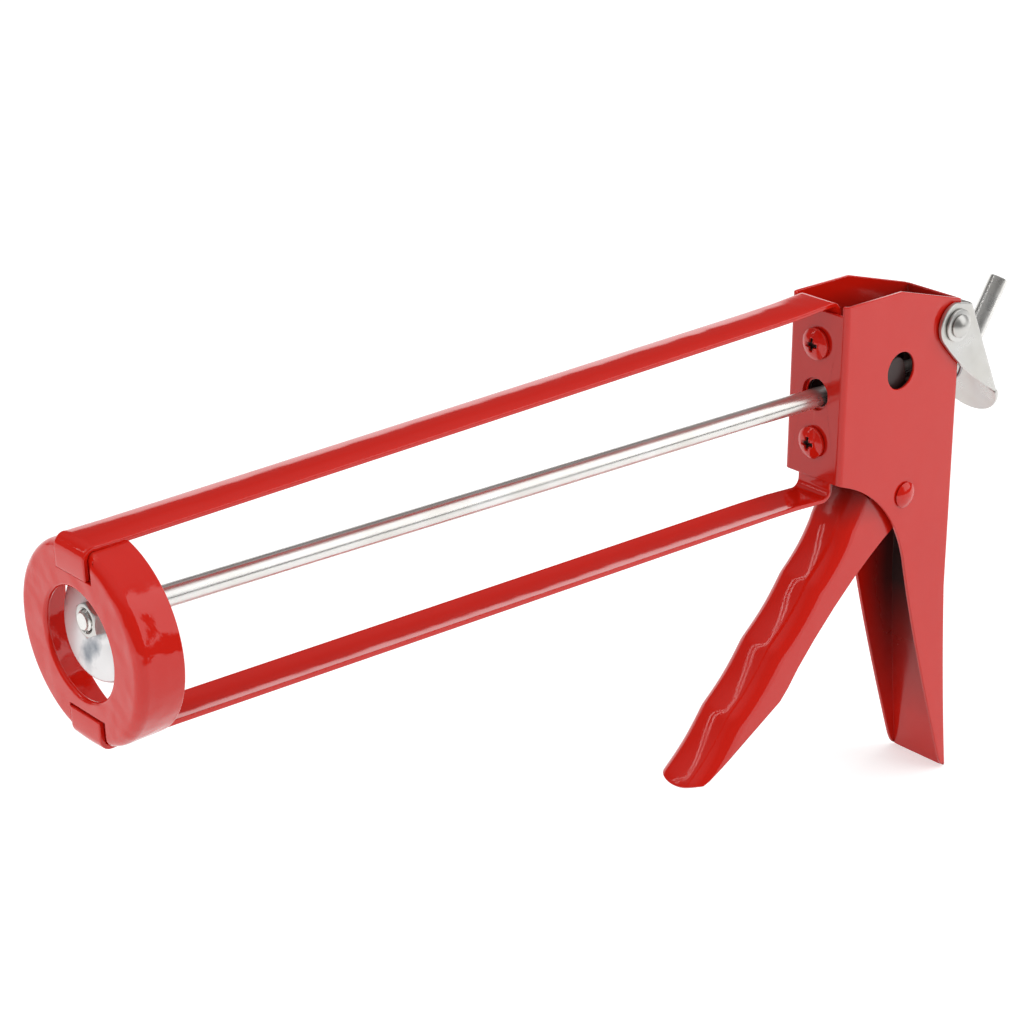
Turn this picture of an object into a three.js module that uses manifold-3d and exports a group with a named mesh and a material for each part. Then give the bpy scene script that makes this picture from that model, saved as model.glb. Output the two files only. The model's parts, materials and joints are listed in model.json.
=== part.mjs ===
// Skeleton caulking gun for 310 ml cartridges, with a friction rod drive and a thumb release.
// Millimetres. +X points to the nozzle end, +Y to the gun's left, +Z up.
// The origin lies on the back of the grip, on the middle plane, level with the trigger's pivot.

import * as THREE from "three";
import { mergeVertices } from "three/addons/utils/BufferGeometryUtils.js";
import Module from "manifold-3d";

const wasm = await Module();
wasm.setup();

// ---- Driving sizes ---------------------------------------------------------------------------

// Clearances
const SEAT_GAP = 0.2; // between faces that bear on each other
const HOLE_CLEARANCE = 0.3; // round a shank, a rivet or a stud in its hole, on the radius
const ROD_CLEARANCE = 0.35; // round the rod in the drive plate and the lever, on the radius
const SIDE_CLEARANCE = 1.4; // each side of the trigger inside the handle

// Handle: one folded sheet with a front web, two side plates and a back web
const HANDLE_SHEET = 1.2;
const HANDLE_WIDTH = 24.5;
const HANDLE_DEPTH = 56;
const HANDLE_TOP_Z = 72.1;
const HANDLE_CREST_X = 29.8;
const HANDLE_REAR_TOP_Z = 63.3;
const HANDLE_FRONT_BOTTOM_Z = 11.2;
const HANDLE_FOLD_RADIUS = 2;
const BACK_BEND_Z = 24; // above this the back leans in a little
const BACK_LEAN = 0.4;
const BACK_STRAIGHT_END_Z = -40; // below this the back of the grip sweeps rearward
const ARCH_FOOT = { x: 21.7, z: -24 }; // where the arch over the trigger runs into the grip
const GRIP_BOTTOM_Z = -112.6;
const GRIP_SWEEP = 6.9; // how far the foot of the grip lies behind the origin
const GRIP_FOOT_DEPTH = 1.5;
const SIDE_HOLE = { x: 28.5, z: 44.9, radius: 6.35 };
const ROD_HOLE_RADIUS = 5.45;
const ROD_HOLE_Z = 40.1;
const BACK_HOLE_RADIUS = 4.2;

// Front ring: a pressed cup that is open to the rear
const RING_AXIS_Z = 37.8;
const RING_BACK_X = 321.9;
const RING_DEPTH = 14.1;
const RING_RADIUS = 29;
const RING_SHEET = 1.5;
const RING_HOLE_RADIUS = 16.15;
const RING_EDGE_RADIUS = 2.4;
const RING_LEAN = THREE.MathUtils.degToRad(2); // its top leans forward
const TAB_POCKET_SIDE = 2.5; // free space beside a strap tab in its pocket
const TAB_POCKET_END = 1.2;
const POCKET_SHEET = 1.2;

// Frame strap: one strip bent into both rails, the web at the handle and the tabs over the ring
const STRAP_WIDTH = 14.2;
const STRAP_SHEET = 1.5;
const STRAP_OVER_RING = 1.1; // its outside stands this far above the ring's wall
const STRAP_TAB_END = 20.5; // distance of a tab's end from the ring's axis
const STRAP_TAB_PROUD = 0.3;
const STRAP_TAB_BEND = 3; // bend radii, on the outside
const STRAP_WEB_BEND = 4.5;
const RAIL_ABOVE_AXIS = 35.3; // the rails' outsides at the handle, from the ring's axis
const RAIL_BELOW_AXIS = 33.6;

// Frame screws and nuts
const SCREW_HEIGHTS = { upper: 57.4, lower: 23.55 };
const SCREW_RADIUS = 2.5;
const SCREW_HEAD_RADIUS = 5.4;
const SCREW_HEAD_HEIGHT = 3.1;
const SCREW_RECESS_LENGTH = 5.6;
const SCREW_RECESS_WIDTH = 1.2;
const SCREW_RECESS_DEPTH = 1.6;
const SCREW_END = 0.8; // beyond the nut
const FRAME_NUT_FLATS = 8;
const FRAME_NUT_HEIGHT = 4;

// Trigger: a folded channel with two arms that reach up beside the rod
const TRIGGER_PIVOT_X = 23.3;
const TRIGGER_SHEET = 1.5;
const TRIGGER_SLOPE = THREE.MathUtils.degToRad(47); // the front's slope below the horizontal
const TRIGGER_FRONT = 12.7; // from the pivot to the front face, square to the slope
const TRIGGER_FLARE = 4.4; // how much farther forward the top of the front lies
const TRIGGER_TOP = 8; // where the front starts, ends its flare and ends, along the slope
const TRIGGER_FLARE_END = 46;
const TRIGGER_LENGTH = 123;
const TRIGGER_CORNER_RADIUS = 6;
const TRIGGER_TIP_ROUND = 7.5;
const GRIP_LOBE = { start: 43, length: 25.8, depth: 1.1 }; // finger lobes, along the slope
const TRIGGER_HUB_RADIUS = 8;
const ARM_HEAD = { x: 4.6, z: 44.5, radius: 4.2 }; // from the pivot
const PIVOT_RIVET_RADIUS = 2.5;
const PIVOT_RIVET_HEAD_RADIUS = 4.45;
const PIVOT_RIVET_HEAD_HEIGHT = 1.9;

// Push rod, which slopes up a little towards the ring, with its hook at the rear
const ROD_RADIUS = 3.25;
const ROD_Z_AT_HANDLE = 38.7;
const ROD_SLOPE = 0.0175;
const ROD_END_X = 278.5; // along the rod from the handle's front face
const ROD_HOOK_X = -71.9; // where the hook's bend starts
const ROD_HOOK_ANGLE = THREE.MathUtils.degToRad(58);
const ROD_HOOK_RADIUS = 5;
const ROD_HOOK_LEG = 25;
const ROD_THREAD_RADIUS = 2.9;
const ROD_THREAD_LENGTH = 14;
const ROD_BEYOND_NUT = 1;

// Plunger, which lies loose between its nuts on the rod's threaded end and so tilts either way
const PLUNGER_RADIUS = 17.9;
const PLUNGER_SHEET = 1.4;
const PLUNGER_DOME = 1;
const PLUNGER_TILT = THREE.MathUtils.degToRad(14);
const PLUNGER_SEAT_RADIUS = 6.5;
const PLUNGER_NUT_FLATS = 9.2;
const PLUNGER_NUT_HEIGHT = 3.4;

// Drive plate and its spring
const DRIVE_PLATE_THICKNESS = 2.5;
const DRIVE_PLATE_HEIGHT = 24;
const DRIVE_CONTACT_GAP = 0.35;
const MAIN_SPRING_RADIUS = 6.9; // to the wire's centre
const MAIN_SPRING_WIRE = 0.6;
const MAIN_SPRING_TURNS = 3;

// Release lever on its rivet, and the spring that tilts it
const LEVER_PIVOT = { x: 3.8, z: 55.6 };
const LEVER_LEAN = THREE.MathUtils.degToRad(24.8);
const LEVER_TRAVEL = THREE.MathUtils.degToRad(8);
const LEVER_SHEET = 1.5;
const LEVER_SIDE_GAP = 0.4;
const LEVER_EAR_RADIUS = 7.8;
const LEVER_EAR_START = -0.35; // the round part of the ear, as angles round the pivot
const LEVER_EAR_END = 0.62 * Math.PI;
const LEVER_WEB_BACK = 10; // from the pivot to the web's rear face
const LEVER_WEB_TOP = 1.9;
const LEVER_EAR_FOOT = -35.4;
const LEVER_TAB_END = -47.6;
const LEVER_RIVET_RADIUS = 2.3;
const LEVER_RIVET_HEAD_RADIUS = 4;
const LEVER_RIVET_HEAD_HEIGHT = 2.3;
const LEVER_WASHER_RADIUS = 5.6;
const LEVER_WASHER_THICKNESS = 0.8;
const LEVER_SPRING_RADIUS = 7.4;
const LEVER_SPRING_WIRE = 0.6;
const LEVER_SPRING_TURNS = 3.5;

const CIRCLE_SIDES = 24;
const LARGE_CIRCLE_SIDES = 40;
const REACH = 60; // how far a cutting solid runs past what it cuts

// ---- Materials -------------------------------------------------------------------------------

function material(color, roughness, metalness) {
  return new THREE.MeshStandardMaterial({ color, roughness, metalness });
}

const redPaint = material(0xc01a14, 0.28, 0.0);
const zinc = material(0xc9c9c4, 0.32, 1.0);
const springSteel = material(0x8d8f90, 0.35, 1.0);
const hardenedSteel = material(0x4b4c4e, 0.5, 1.0);

// ---- Solids and meshes -----------------------------------------------------------------------

function solid(geometry) {
  const bare = geometry.clone();
  bare.deleteAttribute("normal");
  bare.deleteAttribute("uv");
  const merged = mergeVertices(bare, 1e-5);
  return new wasm.Manifold(
    new wasm.Mesh({
      numProp: 3,
      vertProperties: Float32Array.from(merged.attributes.position.array),
      triVerts: Uint32Array.from(merged.index.array),
    }),
  );
}

function mesh(name, shape, surface) {
  const { vertProperties, triVerts } = shape.getMesh();
  const geometry = new THREE.BufferGeometry();
  geometry.setAttribute("position", new THREE.BufferAttribute(vertProperties, 3));
  geometry.setIndex(new THREE.BufferAttribute(triVerts, 1));
  geometry.computeVertexNormals();
  const result = new THREE.Mesh(geometry, surface);
  result.name = name;
  return result;
}

function union(...shapes) {
  return shapes.reduce((whole, shape) => whole.add(shape));
}

// A box between two corners
function box(low, high) {
  const size = high.map((value, axis) => value - low[axis]);
  const centre = high.map((value, axis) => (value + low[axis]) / 2);
  return solid(new THREE.BoxGeometry(...size).translate(...centre));
}

// A prism whose outline is drawn in X and Z, between two distances along Y
function sidePrism(outline, yLow, yHigh, curveSegments = 12) {
  const geometry = new THREE.ExtrudeGeometry(outline, {
    depth: yHigh - yLow,
    bevelEnabled: false,
    curveSegments,
  });
  return solid(geometry.rotateX(Math.PI / 2).translate(0, yHigh, 0));
}

function plannedPrism(outline, zLow, zHigh) {
  const geometry = new THREE.ExtrudeGeometry(outline, {
    depth: zHigh - zLow,
    bevelEnabled: false,
    curveSegments: 8,
  });
  return solid(geometry.translate(0, 0, zLow));
}

function cylinderX(radius, xLow, xHigh, z = 0, sides = CIRCLE_SIDES) {
  const geometry = new THREE.CylinderGeometry(radius, radius, xHigh - xLow, sides);
  return solid(geometry.rotateZ(-Math.PI / 2).translate((xLow + xHigh) / 2, 0, z));
}

function cylinderY(radius, yLow, yHigh, x = 0, z = 0) {
  const geometry = new THREE.CylinderGeometry(radius, radius, yHigh - yLow, CIRCLE_SIDES);
  return solid(geometry.translate(x, (yLow + yHigh) / 2, z));
}

// A solid of revolution about the vertical axis of three.js, from [height, radius] corners that
// may run either way round
function lathe(outline, sides) {
  const points = outline.map(([height, radius]) => new THREE.Vector2(radius, height));
  if (THREE.ShapeUtils.area(points) < 0) points.reverse();
  return new THREE.LatheGeometry(points, sides);
}

function turnedX(outline, sides = CIRCLE_SIDES) {
  return solid(lathe(outline, sides).rotateZ(-Math.PI / 2));
}

// The [x, radius] corners of a low dome that bulges towards +X, from its rim to the axis
function dome(xBase, radius, height, steps = 6) {
  const sphere = (radius * radius + height * height) / (2 * height);
  const corners = [];
  for (let step = 0; step <= steps; step++) {
    const r = radius * (1 - step / steps);
    corners.push([xBase + height - sphere + Math.sqrt(sphere * sphere - r * r), r]);
  }
  return corners;
}

// A hexagonal nut on X, with a plain bore
function nut(flats, height, boreRadius, xLow) {
  const corner = flats / Math.sqrt(3);
  const blank = new THREE.CylinderGeometry(corner, corner, height, 6)
    .rotateZ(-Math.PI / 2)
    .translate(xLow + height / 2, 0, 0);
  const chamfered = turnedX([
    [xLow - 0.01, 0],
    [xLow - 0.01, flats / 2],
    [xLow + (corner - flats / 2), corner + 0.1],
    [xLow + height - (corner - flats / 2), corner + 0.1],
    [xLow + height + 0.01, flats / 2],
    [xLow + height + 0.01, 0],
  ]);
  return solid(blank).intersect(chamfered).subtract(cylinderX(boreRadius, xLow - 1, xLow + height + 1));
}

// A coil spring along X between two ends, measured over the wire
class Helix extends THREE.Curve {
  constructor(radius, xLow, xHigh, turns) {
    super();
    Object.assign(this, { radius, xLow, xHigh, turns });
  }

  // Each end turns once at nearly no pitch, so that the spring sits square
  getPoint(t, target = new THREE.Vector3()) {
    const turned = t * this.turns;
    const ends = 0.75;
    const closed = 0.15;
    const rise = Math.min(Math.max((turned - ends) / (this.turns - 2 * ends), 0), 1);
    const crawl = (Math.min(turned, ends) + Math.max(turned - this.turns + ends, 0)) / (2 * ends);
    const share = rise * (1 - closed) + crawl * closed;
    const angle = turned * 2 * Math.PI;
    return target.set(
      THREE.MathUtils.lerp(this.xLow, this.xHigh, share),
      this.radius * Math.cos(angle),
      this.radius * Math.sin(angle),
    );
  }
}

function coilSpring(radius, wire, turns, xLow, xHigh) {
  const section = new THREE.Shape().absarc(0, 0, wire, 0, 2 * Math.PI);
  const geometry = new THREE.ExtrudeGeometry(section, {
    extrudePath: new Helix(radius, xLow + wire, xHigh - wire, turns),
    steps: Math.round(turns * 14),
    curveSegments: 3,
    bevelEnabled: false,
  });
  return solid(geometry);
}

// ---- Handle ----------------------------------------------------------------------------------

const handleHalf = HANDLE_WIDTH / 2;
const webBackX = HANDLE_DEPTH - HANDLE_SHEET;
const railTopZ = RING_AXIS_Z + RAIL_ABOVE_AXIS;
const railBottomZ = RING_AXIS_Z - RAIL_BELOW_AXIS;
const strapWebFrontX = webBackX - SEAT_GAP;
const strapWebBackX = strapWebFrontX - STRAP_SHEET;

// The back of the handle and grip from the top down, moved forward by an inset
function drawBackDown(outline, inset) {
  outline.lineTo(inset, BACK_BEND_Z);
  outline.lineTo(inset, BACK_STRAIGHT_END_Z);
  outline.quadraticCurveTo(
    inset - GRIP_SWEEP / 3,
    (BACK_STRAIGHT_END_Z + GRIP_BOTTOM_Z) / 2,
    inset - GRIP_SWEEP,
    GRIP_BOTTOM_Z,
  );
}

function handleOutline() {
  const outline = new THREE.Shape();
  outline.moveTo(HANDLE_DEPTH, HANDLE_TOP_Z);
  outline.lineTo(HANDLE_CREST_X, HANDLE_TOP_Z);
  outline.lineTo(BACK_LEAN, HANDLE_REAR_TOP_Z);
  drawBackDown(outline, 0);
  outline.lineTo(GRIP_FOOT_DEPTH - GRIP_SWEEP, GRIP_BOTTOM_Z);
  outline.quadraticCurveTo(
    ARCH_FOOT.x * 0.67,
    THREE.MathUtils.lerp(ARCH_FOOT.z, GRIP_BOTTOM_Z, 0.35),
    ARCH_FOOT.x,
    ARCH_FOOT.z,
  );
  outline.quadraticCurveTo(
    ARCH_FOOT.x + 0.23 * (HANDLE_DEPTH - ARCH_FOOT.x),
    THREE.MathUtils.lerp(HANDLE_FRONT_BOTTOM_Z, ARCH_FOOT.z, 0.23),
    HANDLE_DEPTH,
    HANDLE_FRONT_BOTTOM_Z,
  );
  return outline;
}

// The hollow runs out of the top and of the whole front below the front web
function hollowOutline() {
  const outline = new THREE.Shape();
  outline.moveTo(webBackX, HANDLE_TOP_Z + REACH);
  outline.lineTo(HANDLE_SHEET + BACK_LEAN, HANDLE_TOP_Z + REACH);
  outline.lineTo(HANDLE_SHEET + BACK_LEAN, HANDLE_REAR_TOP_Z);
  drawBackDown(outline, HANDLE_SHEET);
  outline.lineTo(HANDLE_SHEET - GRIP_SWEEP, GRIP_BOTTOM_Z - REACH);
  outline.lineTo(webBackX, GRIP_BOTTOM_Z - REACH);
  return outline;
}

// A plan with its two front corners rounded
function plan(frontX, half, radius) {
  const outline = new THREE.Shape();
  outline.moveTo(-REACH, -half);
  outline.lineTo(frontX - radius, -half);
  outline.absarc(frontX - radius, radius - half, radius, -Math.PI / 2, 0);
  outline.absarc(frontX - radius, half - radius, radius, 0, Math.PI / 2);
  outline.lineTo(-REACH, half);
  return outline;
}

function rounded(outline, frontX, half, radius) {
  const folded = plan(frontX, half, radius);
  const low = GRIP_BOTTOM_Z - 2 * REACH;
  const high = HANDLE_TOP_Z + 2 * REACH;
  return sidePrism(outline, -half, half).intersect(plannedPrism(folded, low, high));
}

// A cutter through both side plates
function acrossHandle(radius, x, z) {
  return cylinderY(radius, -HANDLE_WIDTH, HANDLE_WIDTH, x, z);
}

function makeHandle() {
  const innerHalf = handleHalf - HANDLE_SHEET;
  const outer = rounded(handleOutline(), HANDLE_DEPTH, handleHalf, HANDLE_FOLD_RADIUS);
  const inner = rounded(hollowOutline(), webBackX, innerHalf, HANDLE_FOLD_RADIUS - HANDLE_SHEET);
  const strapNotch = box(
    [webBackX - 1, HANDLE_FOLD_RADIUS - handleHalf, railTopZ - STRAP_WEB_BEND + SEAT_GAP],
    [HANDLE_DEPTH + 1, handleHalf - HANDLE_FOLD_RADIUS, HANDLE_TOP_Z + 1],
  );
  const screwHoles = Object.values(SCREW_HEIGHTS).map((z) =>
    cylinderX(SCREW_RADIUS + HOLE_CLEARANCE, webBackX - 1, HANDLE_DEPTH + 1, z),
  );
  return outer
    .subtract(inner)
    .subtract(strapNotch)
    .subtract(union(...screwHoles))
    .subtract(cylinderX(ROD_HOLE_RADIUS, webBackX - 1, HANDLE_DEPTH + 1, ROD_HOLE_Z))
    .subtract(cylinderX(BACK_HOLE_RADIUS, -1, HANDLE_SHEET + 1, rodHeightAt(0)))
    .subtract(acrossHandle(SIDE_HOLE.radius, SIDE_HOLE.x, SIDE_HOLE.z))
    .subtract(acrossHandle(PIVOT_RIVET_RADIUS + HOLE_CLEARANCE, TRIGGER_PIVOT_X, 0))
    .subtract(acrossHandle(LEVER_RIVET_RADIUS + HOLE_CLEARANCE, LEVER_PIVOT.x, LEVER_PIVOT.z));
}

// ---- Front ring, in its own frame: the axis is X and the back rim is at 0 ------------------------

const ringGroup = new THREE.Group();
ringGroup.position.set(RING_BACK_X, 0, RING_AXIS_Z);
ringGroup.rotation.y = RING_LEAN;
ringGroup.updateMatrixWorld();

const strapRadius = RING_RADIUS + STRAP_OVER_RING;
const pocketHalf = STRAP_WIDTH / 2 + TAB_POCKET_SIDE;
const pocketFloorX = RING_DEPTH + STRAP_TAB_PROUD - STRAP_SHEET - SEAT_GAP;
const grooveFloor = strapRadius - STRAP_SHEET - SEAT_GAP;

// The bevel on the ring's edge inside a strap bend, as long as keeps the seat's gap to the bend
const edgeBevel = (2 - Math.SQRT2) * (STRAP_TAB_BEND - STRAP_SHEET - SEAT_GAP);

function makeRing() {
  const innerRadius = RING_RADIUS - RING_SHEET;
  const edge = [];
  for (let step = 0; step <= 5; step++) {
    const angle = (Math.PI / 2) * (step / 5);
    edge.push([
      RING_DEPTH - RING_EDGE_RADIUS * (1 - Math.sin(angle)),
      RING_RADIUS - RING_EDGE_RADIUS * (1 - Math.cos(angle)),
    ]);
  }
  const cup = turnedX(
    [
      [0, innerRadius],
      [0, RING_RADIUS],
      ...edge,
      [RING_DEPTH, RING_HOLE_RADIUS],
      [RING_DEPTH - RING_SHEET, RING_HOLE_RADIUS],
      [RING_DEPTH - RING_SHEET, innerRadius],
      [0, innerRadius],
    ],
    LARGE_CIRCLE_SIDES,
  );
  const backing = cylinderX(RING_RADIUS - RING_SHEET / 2, pocketFloorX - POCKET_SHEET, pocketFloorX + 0.3);
  return [1, -1].reduce((ring, side) => {
    const backingHalf = pocketHalf + POCKET_SHEET;
    const span = (low, high) => (side > 0 ? [low, high] : [-high, -low]);
    const [padLow, padHigh] = span(STRAP_TAB_END - TAB_POCKET_END - POCKET_SHEET, RING_RADIUS);
    const [pocketLow, pocketHigh] = span(STRAP_TAB_END - TAB_POCKET_END, strapRadius + 1);
    const [grooveLow, grooveHigh] = span(grooveFloor, strapRadius + 1);
    const pad = backing.intersect(box([-REACH, -backingHalf, padLow], [REACH, backingHalf, padHigh]));
    const pocket = box([pocketFloorX, -pocketHalf, pocketLow], [RING_DEPTH + 1, pocketHalf, pocketHigh]);
    const groove = box([-1, -pocketHalf, grooveLow], [RING_DEPTH + 1, pocketHalf, grooveHigh]);
    const bevel = new THREE.Shape();
    bevel.moveTo(pocketFloorX - edgeBevel, side * grooveFloor);
    bevel.lineTo(pocketFloorX, side * (grooveFloor - edgeBevel));
    bevel.lineTo(pocketFloorX + 1, side * (grooveFloor + 1));
    return ring
      .add(pad)
      .subtract(union(pocket, groove, sidePrism(bevel, -pocketHalf, pocketHalf)));
  }, cup);
}

// ---- Frame strap -----------------------------------------------------------------------------

// A point given in the ring's own frame, as [x, z] of the gun
function fromRing(x, z) {
  const point = ringGroup.localToWorld(new THREE.Vector3(x, 0, z));
  return [point.x, point.z];
}

// The strap's outside, from the upper tab round the handle's web to the lower tab
function strapCorners() {
  const tabX = RING_DEPTH + STRAP_TAB_PROUD;
  return [
    { at: fromRing(tabX, STRAP_TAB_END), bend: 0 },
    { at: fromRing(tabX, strapRadius), bend: STRAP_TAB_BEND },
    { at: fromRing(0, strapRadius), bend: 0 },
    { at: [strapWebBackX, railTopZ], bend: STRAP_WEB_BEND },
    { at: [strapWebBackX, railBottomZ], bend: STRAP_WEB_BEND },
    { at: fromRing(0, -strapRadius), bend: 0 },
    { at: fromRing(tabX, -strapRadius), bend: STRAP_TAB_BEND },
    { at: fromRing(tabX, -STRAP_TAB_END), bend: 0 },
  ];
}

// The same line moved inward by an inset, with its bends as arcs
function strapLine(inset) {
  const corners = strapCorners().map(({ at, bend }) => ({ at: new THREE.Vector2(...at), bend }));
  const directions = corners.slice(1).map((corner, i) => corner.at.clone().sub(corners[i].at).normalize());
  const inward = directions.map((d) => new THREE.Vector2(-d.y, d.x));
  const line = [];
  corners.forEach(({ at, bend }, i) => {
    const before = inward[Math.max(i - 1, 0)];
    const after = inward[Math.min(i, inward.length - 1)];
    const bisector = before.clone().add(after).normalize();
    const stretch = 1 / bisector.dot(before);
    if (bend === 0) {
      line.push(at.clone().addScaledVector(bisector, inset * stretch));
      return;
    }
    const centre = at.clone().addScaledVector(bisector, bend * stretch);
    const from = before.clone().negate().angle();
    const turn = Math.acos(before.dot(after));
    const steps = 6;
    for (let step = 0; step <= steps; step++) {
      const angle = from + (turn * step) / steps;
      const reach = bend - inset;
      const spoke = new THREE.Vector2(Math.cos(angle), Math.sin(angle));
      line.push(centre.clone().addScaledVector(spoke, reach));
    }
  });
  return line;
}

function makeStrap() {
  const outline = new THREE.Shape([...strapLine(0), ...strapLine(STRAP_SHEET).reverse()]);
  const strip = sidePrism(outline, -STRAP_WIDTH / 2, STRAP_WIDTH / 2);
  const screwHoles = Object.values(SCREW_HEIGHTS).map((z) =>
    cylinderX(SCREW_RADIUS + HOLE_CLEARANCE, strapWebBackX - 1, strapWebFrontX + 1, z),
  );
  return strip
    .subtract(union(...screwHoles))
    .subtract(cylinderX(ROD_HOLE_RADIUS, strapWebBackX - 1, strapWebFrontX + 1, ROD_HOLE_Z));
}

// ---- Frame screws and nuts, each on its own axis with the handle's front face at 0 ---------------

const nutFrontX = strapWebBackX - SEAT_GAP - HANDLE_DEPTH;

function makeScrew() {
  const end = nutFrontX - FRAME_NUT_HEIGHT - SCREW_END;
  const rim = SCREW_HEAD_HEIGHT * 0.35;
  const headTop = dome(SEAT_GAP + rim, SCREW_HEAD_RADIUS, SCREW_HEAD_HEIGHT - rim);
  const blank = turnedX([
    [end, 0],
    [end, SCREW_RADIUS],
    [SEAT_GAP, SCREW_RADIUS],
    [SEAT_GAP, SCREW_HEAD_RADIUS],
    ...headTop,
  ]);
  const bottom = SEAT_GAP + SCREW_HEAD_HEIGHT - SCREW_RECESS_DEPTH;
  const long = SCREW_RECESS_LENGTH / 2;
  const wide = SCREW_RECESS_WIDTH / 2;
  const cross = union(
    box([bottom, -long, -wide], [bottom + REACH, long, wide]),
    box([bottom, -wide, -long], [bottom + REACH, wide, long]),
  );
  return blank.subtract(cross);
}

// ---- Trigger, about its pivot ------------------------------------------------------------------

const triggerHalf = handleHalf - HANDLE_SHEET - SIDE_CLEARANCE;
const alongSlope = new THREE.Vector3(Math.cos(TRIGGER_SLOPE), 0, -Math.sin(TRIGGER_SLOPE));
const acrossSlope = new THREE.Vector3(Math.sin(TRIGGER_SLOPE), 0, Math.cos(TRIGGER_SLOPE));

// A point at a distance along the slope and a distance square to it
function onSlope(along, across) {
  return alongSlope.clone().multiplyScalar(along).addScaledVector(acrossSlope, across);
}

function frontAt(along) {
  const flare = Math.max(TRIGGER_FLARE_END - along, 0) / (TRIGGER_FLARE_END - TRIGGER_TOP);
  return TRIGGER_FRONT + TRIGGER_FLARE * flare * flare;
}

// The rear edge of the flanges: [along the slope, across it] from the hub to the tip
const FLANGE_REAR_EDGE = [
  [10, -6.6],
  [28, -2.6],
  [58, -0.4],
  [80, -2.2],
  [118, 10.6],
];

// The front and both flanges as a full bar, moved inward by an inset and lengthened at both ends
function triggerBar(inset, overrun) {
  const half = triggerHalf - inset;
  const radius = TRIGGER_CORNER_RADIUS - inset;
  const section = new THREE.Shape();
  section.moveTo(-half, REACH);
  section.lineTo(-half, inset + radius);
  section.absarc(radius - half, inset + radius, radius, Math.PI, 1.5 * Math.PI);
  section.absarc(half - radius, inset + radius, radius, 1.5 * Math.PI, 2 * Math.PI);
  section.lineTo(half, REACH);

  const flareSteps = 4;
  const stations = [TRIGGER_TOP - overrun];
  for (let step = 0; step < flareSteps; step++) {
    stations.push(THREE.MathUtils.lerp(TRIGGER_TOP, TRIGGER_FLARE_END, (step + 0.5) / flareSteps));
  }
  stations.push(TRIGGER_FLARE_END, TRIGGER_LENGTH + overrun);
  const bar = new THREE.ExtrudeGeometry(section, {
    extrudePath: new THREE.CatmullRomCurve3(stations.map((along) => onSlope(along, frontAt(along)))),
    steps: 9,
    curveSegments: 5,
    bevelEnabled: false,
  });
  return solid(bar).intersect(triggerLobes(inset, overrun));
}

// Everything behind the finger lobes, which meet in ridges
function triggerLobes(inset, overrun) {
  const outline = [];
  const stepsPerLobe = 6;
  const firstStep = -stepsPerLobe * 2;
  const lastStep = stepsPerLobe * 4;
  for (let step = firstStep; step <= lastStep; step++) {
    const along = GRIP_LOBE.start + (GRIP_LOBE.length * step) / stepsPerLobe;
    const wave = Math.abs(Math.sin((Math.PI * step) / stepsPerLobe));
    const dip = step < -stepsPerLobe ? 0 : GRIP_LOBE.depth * wave;
    outline.push(onSlope(along, frontAt(along) - dip - inset));
  }
  outline.push(onSlope(TRIGGER_LENGTH + REACH, -REACH), onSlope(TRIGGER_TOP - REACH, -REACH));
  const shape = new THREE.Shape(outline.map((point) => new THREE.Vector2(point.x, point.z)));
  return sidePrism(shape, -HANDLE_WIDTH, HANDLE_WIDTH);
}

function makeTriggerChannel() {
  const edge = FLANGE_REAR_EDGE.map(([along, across]) => onSlope(along, across));
  const corners = [
    ...edge,
    onSlope(TRIGGER_LENGTH, FLANGE_REAR_EDGE.at(-1)[1]),
    onSlope(TRIGGER_LENGTH, REACH),
    onSlope(TRIGGER_TOP, REACH),
    onSlope(TRIGGER_TOP, FLANGE_REAR_EDGE[0][1]),
  ];
  const trim = new THREE.Shape(corners.map((point) => new THREE.Vector2(point.x, point.z)));
  return triggerBar(0, 0)
    .subtract(triggerBar(TRIGGER_SHEET, 5))
    .intersect(sidePrism(trim, -HANDLE_WIDTH, HANDLE_WIDTH))
    .intersect(triggerTipTrim());
}

// The front view of the channel, with its round tip
function triggerTipTrim() {
  const outline = new THREE.Shape();
  outline.moveTo(-REACH, -triggerHalf - 1);
  outline.lineTo(TRIGGER_LENGTH - TRIGGER_TIP_ROUND, -triggerHalf - 1);
  outline.absellipse(
    TRIGGER_LENGTH - TRIGGER_TIP_ROUND,
    0,
    TRIGGER_TIP_ROUND,
    triggerHalf + 1,
    -Math.PI / 2,
    Math.PI / 2,
  );
  outline.lineTo(-REACH, triggerHalf + 1);
  const geometry = new THREE.ExtrudeGeometry(outline, {
    depth: 2 * REACH,
    bevelEnabled: false,
    curveSegments: 8,
  });
  const sloping = new THREE.Matrix4();
  sloping.makeBasis(alongSlope, new THREE.Vector3(0, 1, 0), acrossSlope);
  return solid(geometry.translate(0, 0, -REACH).applyMatrix4(sloping));
}

// One side's arm, hub and the root of its flange, as a flat plate
function triggerPlate(yLow) {
  const root = onSlope(36, frontAt(36) - TRIGGER_CORNER_RADIUS);
  const rootRear = onSlope(36, -2);
  const throat = onSlope(TRIGGER_TOP + 1, frontAt(TRIGGER_TOP) - TRIGGER_CORNER_RADIUS);
  const armFront = ARM_HEAD.x + ARM_HEAD.radius;
  const rear = onSlope(...FLANGE_REAR_EDGE[0]);
  const outline = new THREE.Shape();
  outline.moveTo(root.x, root.z);
  outline.lineTo(throat.x, throat.z);
  outline.lineTo(armFront, ARM_HEAD.z / 2);
  outline.absarc(ARM_HEAD.x, ARM_HEAD.z, ARM_HEAD.radius, 0, Math.PI);
  outline.absarc(0, 0, TRIGGER_HUB_RADIUS, Math.PI, 1.45 * Math.PI);
  outline.lineTo(rear.x, rear.z);
  outline.lineTo(rootRear.x, rootRear.z);
  return sidePrism(outline, yLow, yLow + TRIGGER_SHEET);
}

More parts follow.
